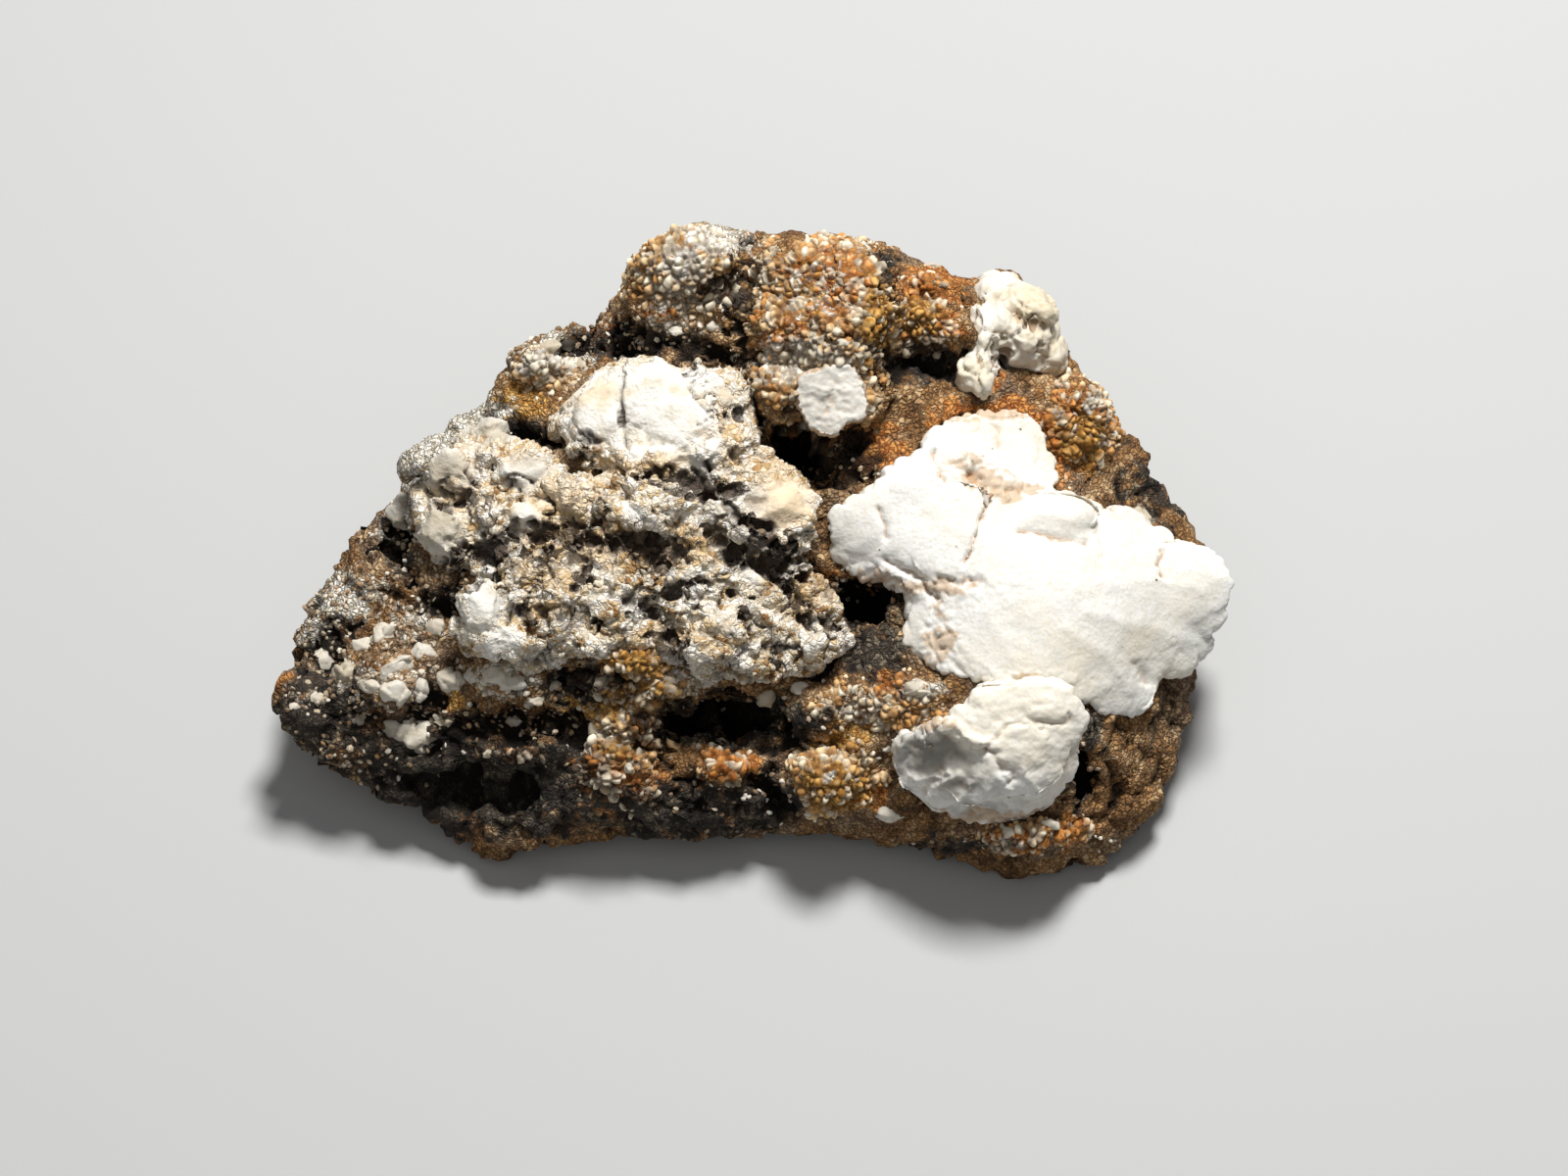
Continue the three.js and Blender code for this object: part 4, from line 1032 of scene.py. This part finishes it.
print("fragments:", triangles_of(fragments), "triangles")

# %% [markdown]
# ## Finishes
# Colours are given as on a screen, in hex, and one function turns them to the linear values that light
# uses. A finish here is built like paint: a ground colour, and coats over it. Each coat says where it
# lies, by a number kept on the mesh or by a cloud pattern of a size in millimetres, how strong it gets,
# and its colour.

# %% Colours and coats
# Painted shade: the near black laid into what is carved and what lies low.
RECESS_SHADE = "#1c140e"


def colour(code):
    """The linear colour of an sRGB hex code, or the socket that was given in its place."""
    if isinstance(code, bpy.types.NodeSocket):
        return code
    parts = [int(code[i:i + 2], 16) / 255 for i in (1, 3, 5)]
    return (*[p / 12.92 if p <= 0.04045 else ((p + 0.055) / 1.055) ** 2.4 for p in parts], 1.0)


def coats(tree, place, look, layers):
    """Lays coats of (where, from, to, most, colour) over a look.

    Where is an attribute's name, a cloud size in mm or a socket. The coat grows from 0 to most as it goes
    from one value to the other.
    """
    for where, start, full, most, above in layers:
        if isinstance(where, str):
            where = add(tree, "ShaderNodeAttribute", None, "Fac", attribute_name=where)
        elif isinstance(where, float):
            where = add(tree, "ShaderNodeTexNoise", {"Vector": place, "Scale": 1000 / where, "Detail": 3.0})
        share = add(tree, "ShaderNodeMapRange", {0: where, 1: start, 2: full, 4: most})
        look = add(tree, "ShaderNodeMix", {0: share, 6: colour(look), 7: colour(above)}, 2, data_type="RGBA")
    return look


def finish(name, roughness, ior=1.54, specular=0.4):
    """A new finish with its shader, its tree and its place coordinates."""
    made = bpy.data.materials.new(name)
    made.use_nodes = True
    tree = made.node_tree
    shader = tree.nodes["Principled BSDF"]
    shader.inputs["Roughness"].default_value = roughness
    shader.inputs["IOR"].default_value = ior
    shader.inputs["Specular IOR Level"].default_value = specular
    return made, tree, shader, add(tree, "ShaderNodeTexCoord", None, "Object")


# %% [markdown]
# Nature leaves no soft round spots, so a painted patch gets a ragged edge: a fine pattern is added to it
# before it is cut off. Crumbs give each grain of a rough surface its own tone, and mark the gap round it,
# which the finishes darken with painted shade.
# The finest grain is only a bump, since it is smaller than the mesh can show.

# %% Patch edges, crumbs and bumps
def ragged(tree, place, attribute, size, spread=0.7, level=0.5, soft=0.12):
    """A patch kept as an attribute, its edge broken up by a pattern of a size in mm."""
    kept = add(tree, "ShaderNodeAttribute", None, "Fac", attribute_name=attribute)
    noise = add(tree, "ShaderNodeTexNoise", {"Vector": place, "Scale": 1000 / size, "Detail": 4.0})
    broken = add(tree, "ShaderNodeMath", {0: noise, 1: spread * 2, 2: kept}, operation="MULTIPLY_ADD")
    return add(tree, "ShaderNodeMapRange",
               {0: broken, 1: level + spread - soft, 2: level + spread + soft})


def crumbs(tree, place, size, clump=4.0):
    """Crumbs of about a size in mm: a random tone for each, alike in clumps, and 0 in a gap to 1 on a top."""
    bend = add(tree, "ShaderNodeTexNoise", {"Vector": place, "Scale": 900 / size, "Detail": 2.0}, "Color")
    bend = add(tree, "ShaderNodeVectorMath", {0: bend, 1: (0.5, 0.5, 0.5)}, operation="SUBTRACT")
    bent = add(tree, "ShaderNodeVectorMath", {0: bend, 1: (size * 1.3 * MM,) * 3, 2: place},
               operation="MULTIPLY_ADD")
    cells = add(tree, "ShaderNodeTexVoronoi", {"Vector": bent, "Scale": 1000 / size}, "Color")
    edge = add(tree, "ShaderNodeTexVoronoi", {"Vector": bent, "Scale": 1000 / size}, "Distance",
               feature="DISTANCE_TO_EDGE")
    top = add(tree, "ShaderNodeMapRange", {0: edge, 2: 0.3})
    own = add(tree, "ShaderNodeSeparateColor", {0: cells})
    alike = add(tree, "ShaderNodeTexNoise", {"Vector": place, "Scale": 1000 / clump, "Detail": 3.0})
    alike = add(tree, "ShaderNodeMapRange", {0: alike, 1: 0.35, 2: 0.65, 4: 0.45})
    return add(tree, "ShaderNodeMath", {0: own, 1: 0.55, 2: alike}, operation="MULTIPLY_ADD"), top


def bumped(tree, shader, place, size, depth, top=0.0):
    """A fine relief of a size and depth in mm, with crumbs on it where they are given."""
    noise = add(tree, "ShaderNodeTexNoise", {"Vector": place, "Scale": 1000 / size, "Detail": 4.0})
    height = add(tree, "ShaderNodeMath", {0: noise, 1: top}, operation="ADD")
    bump = add(tree, "ShaderNodeBump", {"Strength": 1.0, "Distance": depth * MM, "Height": height})
    tree.links.new(bump, shader.inputs["Normal"])


# %% [markdown]
# Weathered host rock, a fine-grained carbonate: dull, earthy, with no shine. Brown where it has weathered,
# near black where it is fresh, rust and ochre where iron has stained the grains, and pale where huntite dusts
# them. The near black patches also hold painted shade in the hollows and along the foot. Painted shade lies
# in what is carved, in what is lower than its surroundings, in the cracks and round each crumb.

# %% Host rock and beaded crust
def stained_and_shaded(tree, place, look, speckle, start, full):
    """Rust, ochre, pale dust, and dark patches of fresh rock and painted shade over a look, as painted on the
    piece.
    """
    rusty = coats(tree, place, "#a8642d", [(0.7, 0.42, 0.6, 1.0, "#dc9a55")])
    yellow = coats(tree, place, "#a87534", [(0.7, 0.42, 0.6, 1.0, "#d8aa62")])
    pale = coats(tree, place, "#cfc2a8", [(0.8, 0.4, 0.6, 1.0, "#f6f1e5")])
    # Near black: fresh rock, and painted shade in hollows and along the foot.
    dark_and_shaded_look = coats(tree, place, "#1d1b19", [
        (1.5, 0.4, 0.6, 1.0, "#4b443b"),
        (speckle, start, full, 0.7, "#8d806b"),
    ])
    return coats(tree, place, look, [
        (ragged(tree, place, "rust", 1.3), 0.0, 1.0, 1.0, rusty),
        (ragged(tree, place, "ochre", 1.1), 0.0, 1.0, 1.0, yellow),
        (ragged(tree, place, "pale", 0.9, level=0.55), 0.0, 1.0, 1.0, pale),
        (ragged(tree, place, "dark_rock_and_shade", 1.6), 0.0, 1.0, 1.0, dark_and_shaded_look),
    ])


def host_rock_finish(name):
    """Brown, crumbly rock with its stains, and painted shade in what is low and round its crumbs."""
    made, tree, shader, place = finish(name, 0.92, specular=0.25)
    tone, top = crumbs(tree, place, 0.55)
    look = coats(tree, place, "#86603a", [
        (2.6, 0.35, 0.65, 1.0, "#b28655"),
        (7.0, 0.5, 0.62, 0.6, "#8a7a68"),
        (tone, 0.35, 0.2, 0.6, "#523822"),
        (tone, 0.6, 0.8, 0.8, "#d0b084"),
    ])
    look = stained_and_shaded(tree, place, look, tone, 0.62, 0.8)
    # Painted shade: round each crumb, in what is carved, in what lies low and in the facets' cracks.
    look = coats(tree, place, look, [
        (top, 0.4, 0.05, 0.75, "#2c1d12"),
        ("carved", 0.25, 1.0, 0.9, RECESS_SHADE),
        ("hollow", 0.75, 1.5, 0.9, RECESS_SHADE),
        ("gap", 0.4, 0.0, 0.5, "#1d1611"),
    ])
    tree.links.new(look, shader.inputs["Base Color"])
    bumped(tree, shader, place, 0.4, 0.2, top)
    return made


def beaded_crust_finish(name):
    """Cream and rusty beads, each with a tone of its own."""
    made, tree, shader, place = finish(name, 0.95, specular=0.12)
    look = coats(tree, place, "#c59258", [
        ("tone", 0.15, 0.5, 1.0, "#ebcb9c"),
        ("tone", 0.55, 0.85, 1.0, "#f6ebd3"),
    ])
    look = stained_and_shaded(tree, place, look, "tone", 0.5, 0.7)
    look = coats(tree, place, look, [
        ("tone", 0.62, 0.85, 0.75, "#eee2c8"),
        # Painted shade in the gaps between the beads, in what is carved and in what lies low.
        ("gap", 0.6, 0.05, 0.7, "#452c19"),
        ("carved", 0.25, 1.0, 0.9, RECESS_SHADE),
        ("hollow", 0.75, 1.5, 0.9, RECESS_SHADE),
    ])
    tree.links.new(look, shader.inputs["Base Color"])
    bumped(tree, shader, place, 0.3, 0.06)
    return made


# %% [markdown]
# Compact huntite: as matte as unglazed porcelain, and a little light goes in and comes out again. White,
# with cream clouds, a few dark specks, and a trace of rust in its creases.

# %% Compact huntite
def glows_inside(shader, share, red, green, blue, reach):
    """Lets a share of the light in, each colour as far as its part of a reach in mm."""
    shader.inputs["Subsurface Weight"].default_value = share
    shader.inputs["Subsurface Radius"].default_value = (red, green, blue)
    shader.inputs["Subsurface Scale"].default_value = reach * MM


SPECK_SCALE = 420.0  # cells of the dark specks to a metre


def compact_huntite_finish(name, white="#e6e4de", cream="#dcd3c0", stain="#9c6c3a"):
    """Matte white huntite with cream clouds, and a stain in its creases."""
    made, tree, shader, place = finish(name, 0.62, ior=1.6, specular=0.35)
    cells = add(tree, "ShaderNodeTexVoronoi", {"Vector": place, "Scale": SPECK_SCALE}, "Distance")
    specks = add(tree, "ShaderNodeMapRange", {0: cells, 1: 0.07, 2: 0.04})
    where = add(tree, "ShaderNodeTexNoise", {"Vector": place, "Scale": 1000 / 3.0, "Detail": 3.0})
    where = add(tree, "ShaderNodeMapRange", {0: where, 1: 0.5, 2: 0.6})
    specks = add(tree, "ShaderNodeMath", {0: specks, 1: where}, operation="MULTIPLY")
    look = coats(tree, place, white, [
        (9.0, 0.42, 0.62, 0.8, cream),
        (2.6, 0.5, 0.7, 0.5, "#d2cfc8"),
        (0.35, 0.5, 0.62, 0.25, "#cbb993"),
        # Painted shade where a piece has it: grey over the lower mass's shaded hollow.
        (ragged(tree, place, "grey_and_shade", 2.0, spread=0.3, soft=0.25), 0.0, 1.0, 0.85, "#777268"),
        ("hollow", 0.62, 1.1, 0.8, stain),
        (ragged(tree, place, "grainy", 1.0, level=0.6), 0.0, 1.0, 0.6, "#b08a5a"),
        (specks, 0.0, 1.0, 1.0, "#4a3a2a"),
    ])
    tree.links.new(look, shader.inputs["Base Color"])
    glows_inside(shader, 0.1, 1.0, 0.85, 0.7, 0.5)
    bumped(tree, shader, place, 0.4, 0.07)
    return made


# %% [markdown]
# The crumbly kind is the same mineral stained by iron and clay, so each crumb gets a tone from white to
# brown, except where a face is clean, and every gap and low place gets painted shade. The strewn fragments
# are small broken bits of both, dull with dust.

# %% Granular huntite and fragments
def granular_huntite_finish(name):
    """Crumbs from white to brown, with cleaner faces where the piece says so."""
    made, tree, shader, place = finish(name, 0.78, ior=1.6, specular=0.3)
    tone, top = crumbs(tree, place, 0.6, clump=3.5)
    clean = coats(tree, place, "#e8e3d9", [
        (3.0, 0.45, 0.7, 1.0, "#d0c5af"),
        (ragged(tree, place, "tan", 3.0, soft=0.3), 0.0, 1.0, 0.7, "#d9bd95"),
        (ragged(tree, place, "grey_and_shade", 3.0, soft=0.3), 0.0, 1.0, 0.8, "#b3aa98"),
    ])
    look = coats(tree, place, "#f4efe5", [
        (tone, 0.25, 0.45, 1.0, "#e4d9c4"),
        (tone, 0.6, 0.7, 1.0, "#cfb68c"),
        (tone, 0.78, 0.86, 1.0, "#94693a"),
        (ragged(tree, place, "tan", 1.4, soft=0.2), 0.0, 1.0, 0.55, "#d0ae78"),
        # Painted shade round each crumb.
        (top, 0.3, 0.02, 0.5, "#7d5d3f"),
        (ragged(tree, place, "smooth", 0.9, spread=0.4, level=0.45), 0.0, 1.0, 1.0, clean),
        # Painted shade in the gaps, in what is carved and in what lies low.
        ("gap", 0.35, 0.0, 0.7, "#4e3823"),
        ("carved", 0.25, 1.0, 0.8, "#35251a"),
        ("hollow", 0.75, 1.5, 0.8, "#35251a"),
    ])
    tree.links.new(look, shader.inputs["Base Color"])
    glows_inside(shader, 0.06, 1.0, 0.8, 0.6, 0.4)
    smooth = add(tree, "ShaderNodeAttribute", None, "Fac", attribute_name="smooth")
    rough = add(tree, "ShaderNodeMapRange", {0: smooth, 1: 0.75, 2: 0.35})
    rough_top = add(tree, "ShaderNodeMath", {0: top, 1: rough}, operation="MULTIPLY")
    bumped(tree, shader, place, 0.4, 0.14, rough_top)
    return made


def fragment_finish(name):
    """Small dusty bits, each with a tone of its own."""
    made, tree, shader, place = finish(name, 0.75, specular=0.3)
    look = coats(tree, place, "#7d6850", [
        ("tone", 0.3, 0.6, 1.0, "#b5a58c"),
        ("tone", 0.75, 0.9, 1.0, "#d9d1c1"),
        (4.0, 0.52, 0.62, 0.5, "#a8743c"),
    ])
    tree.links.new(look, shader.inputs["Base Color"])
    bumped(tree, shader, place, 0.3, 0.04)
    return made


# %% [markdown]
# Each piece gets one finish over all its faces. Joined nodes leave empty slots behind, so these go first.
# The knob and the nodules are compact huntite too, only more stained, and the chip is greyer, because its
# face is a fresh break.

# %% Dressing
def dress(piece, finish_made):
    """Gives the whole piece one finish, in place of the empty slots that joined nodes leave."""
    piece.data.materials.clear()
    piece.data.materials.append(finish_made)


dress(rock, host_rock_finish("weathered_host_rock"))
for piece in (upper_beads, lower_beads):
    dress(piece, beaded_crust_finish("iron_stained_" + piece.name))
dress(upper_knob, compact_huntite_finish("lobed_huntite", "#ded9ce", "#cbbd9f", "#7d5a35"))
for piece in (main_mass, lower_mass):
    dress(piece, compact_huntite_finish("compact_huntite_" + piece.name))
dress(chip, compact_huntite_finish("cleaved_huntite", "#cbc6bc", "#a9a59c"))
dress(crust, granular_huntite_finish("granular_huntite"))
dress(nodules, compact_huntite_finish("nodular_huntite", "#cfc8ba", "#a3947a", "#4e3824"))
dress(fragments, fragment_finish("broken_huntite"))
print("finishes:", [m.name for m in bpy.data.materials])

# %% [markdown]
# ## Floor and light
# A plain pale floor, so that nothing but the stone draws the eye. Its grey is near the middle, which
# keeps the white huntite the brightest thing in the picture.

# %% Floor
bpy.ops.object.select_all(action="DESELECT")
bpy.ops.mesh.primitive_plane_add(size=4)
floor = bpy.context.object
floor.name = "floor"
floor_paint, _, shader, _ = finish("matte_studio_floor", 0.7, specular=0.2)
shader.inputs["Base Color"].default_value = colour("#b4b4b2")
floor.data.materials.append(floor_paint)
floor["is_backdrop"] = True


# %% [markdown]
# The main light stands high behind the stone, a little to the right, so that every grain throws its shade
# towards the viewer. It is small, for crisp shade in the cracks. A large weak light fills from the front,
# and a dim sky keeps the hollows from going black. The standard view keeps the whites white.

# %% Lights
LIGHT_DISTANCE = 0.6
SKY_STRENGTH = 0.14


def light(name, azimuth, elevation, size, watts):
    """A square area light that faces the stone. Azimuth 0 is on the viewer's side, and 90 to the right."""
    a, e = math.radians(azimuth), math.radians(elevation)
    towards = Vector((math.sin(a) * math.cos(e), -math.cos(a) * math.cos(e), math.sin(e)))
    bpy.ops.object.light_add(type="AREA", location=FACE_CENTRE + towards * LIGHT_DISTANCE)
    lamp = bpy.context.object
    lamp.name = name
    lamp.rotation_euler = towards.to_track_quat("Z", "Y").to_euler()
    lamp.data.size = size
    lamp.data.energy = watts


light("key_light", 160, 66, 0.14, 5.6)
light("fill_light", -20, 60, 0.8, 0.7)
bpy.context.scene.view_settings.view_transform = "Standard"
world = bpy.data.worlds.new("studio")
bpy.context.scene.world = world
world.use_nodes = True
sky = world.node_tree.nodes["Background"]
sky.inputs["Color"].default_value = colour("#e8ecf2")
sky.inputs["Strength"].default_value = SKY_STRENGTH

# %% [markdown]
# ## Pieces and bodies
# Every piece rides on the stone's one body, and the solid that it stands for is hidden.

# %% Pieces and bodies
TABLE = [
    (rock, ["matrix_rock"], "matrix_stone"),
    (main_mass, ["huntite_main_mass"], "huntite_white"),
    (lower_mass, ["huntite_lower_mass"], "huntite_white"),
    (upper_knob, ["huntite_upper_knob"], "huntite_white"),
    (chip, ["huntite_cleaved_chip"], "huntite_white"),
    (crust, ["huntite_granular_crust"], "huntite_crust"),
    (upper_beads, [], "matrix_stone"),
    (lower_beads, [], "matrix_stone"),
    (nodules, [], "huntite_white"),
    (fragments, [], "huntite_white"),
]
for helper in (ROUND, KNOBBLY, BLOCK):
    bpy.data.objects.remove(helper)
for piece, nodes, slot in TABLE:
    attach(piece, "root")
    if nodes:
        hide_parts(*nodes)
print("pieces:", [piece.name for piece, nodes, slot in TABLE])

# %% [markdown]
# The box that is shown is written beside the box of the solids, so that the growth can be checked.

# %% Size
low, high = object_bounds()
growth = [*(solid_low - low), *(high - solid_high)]
print("grown past the solids' box by, in mm:", [round(x / MM, 2) for x in growth])
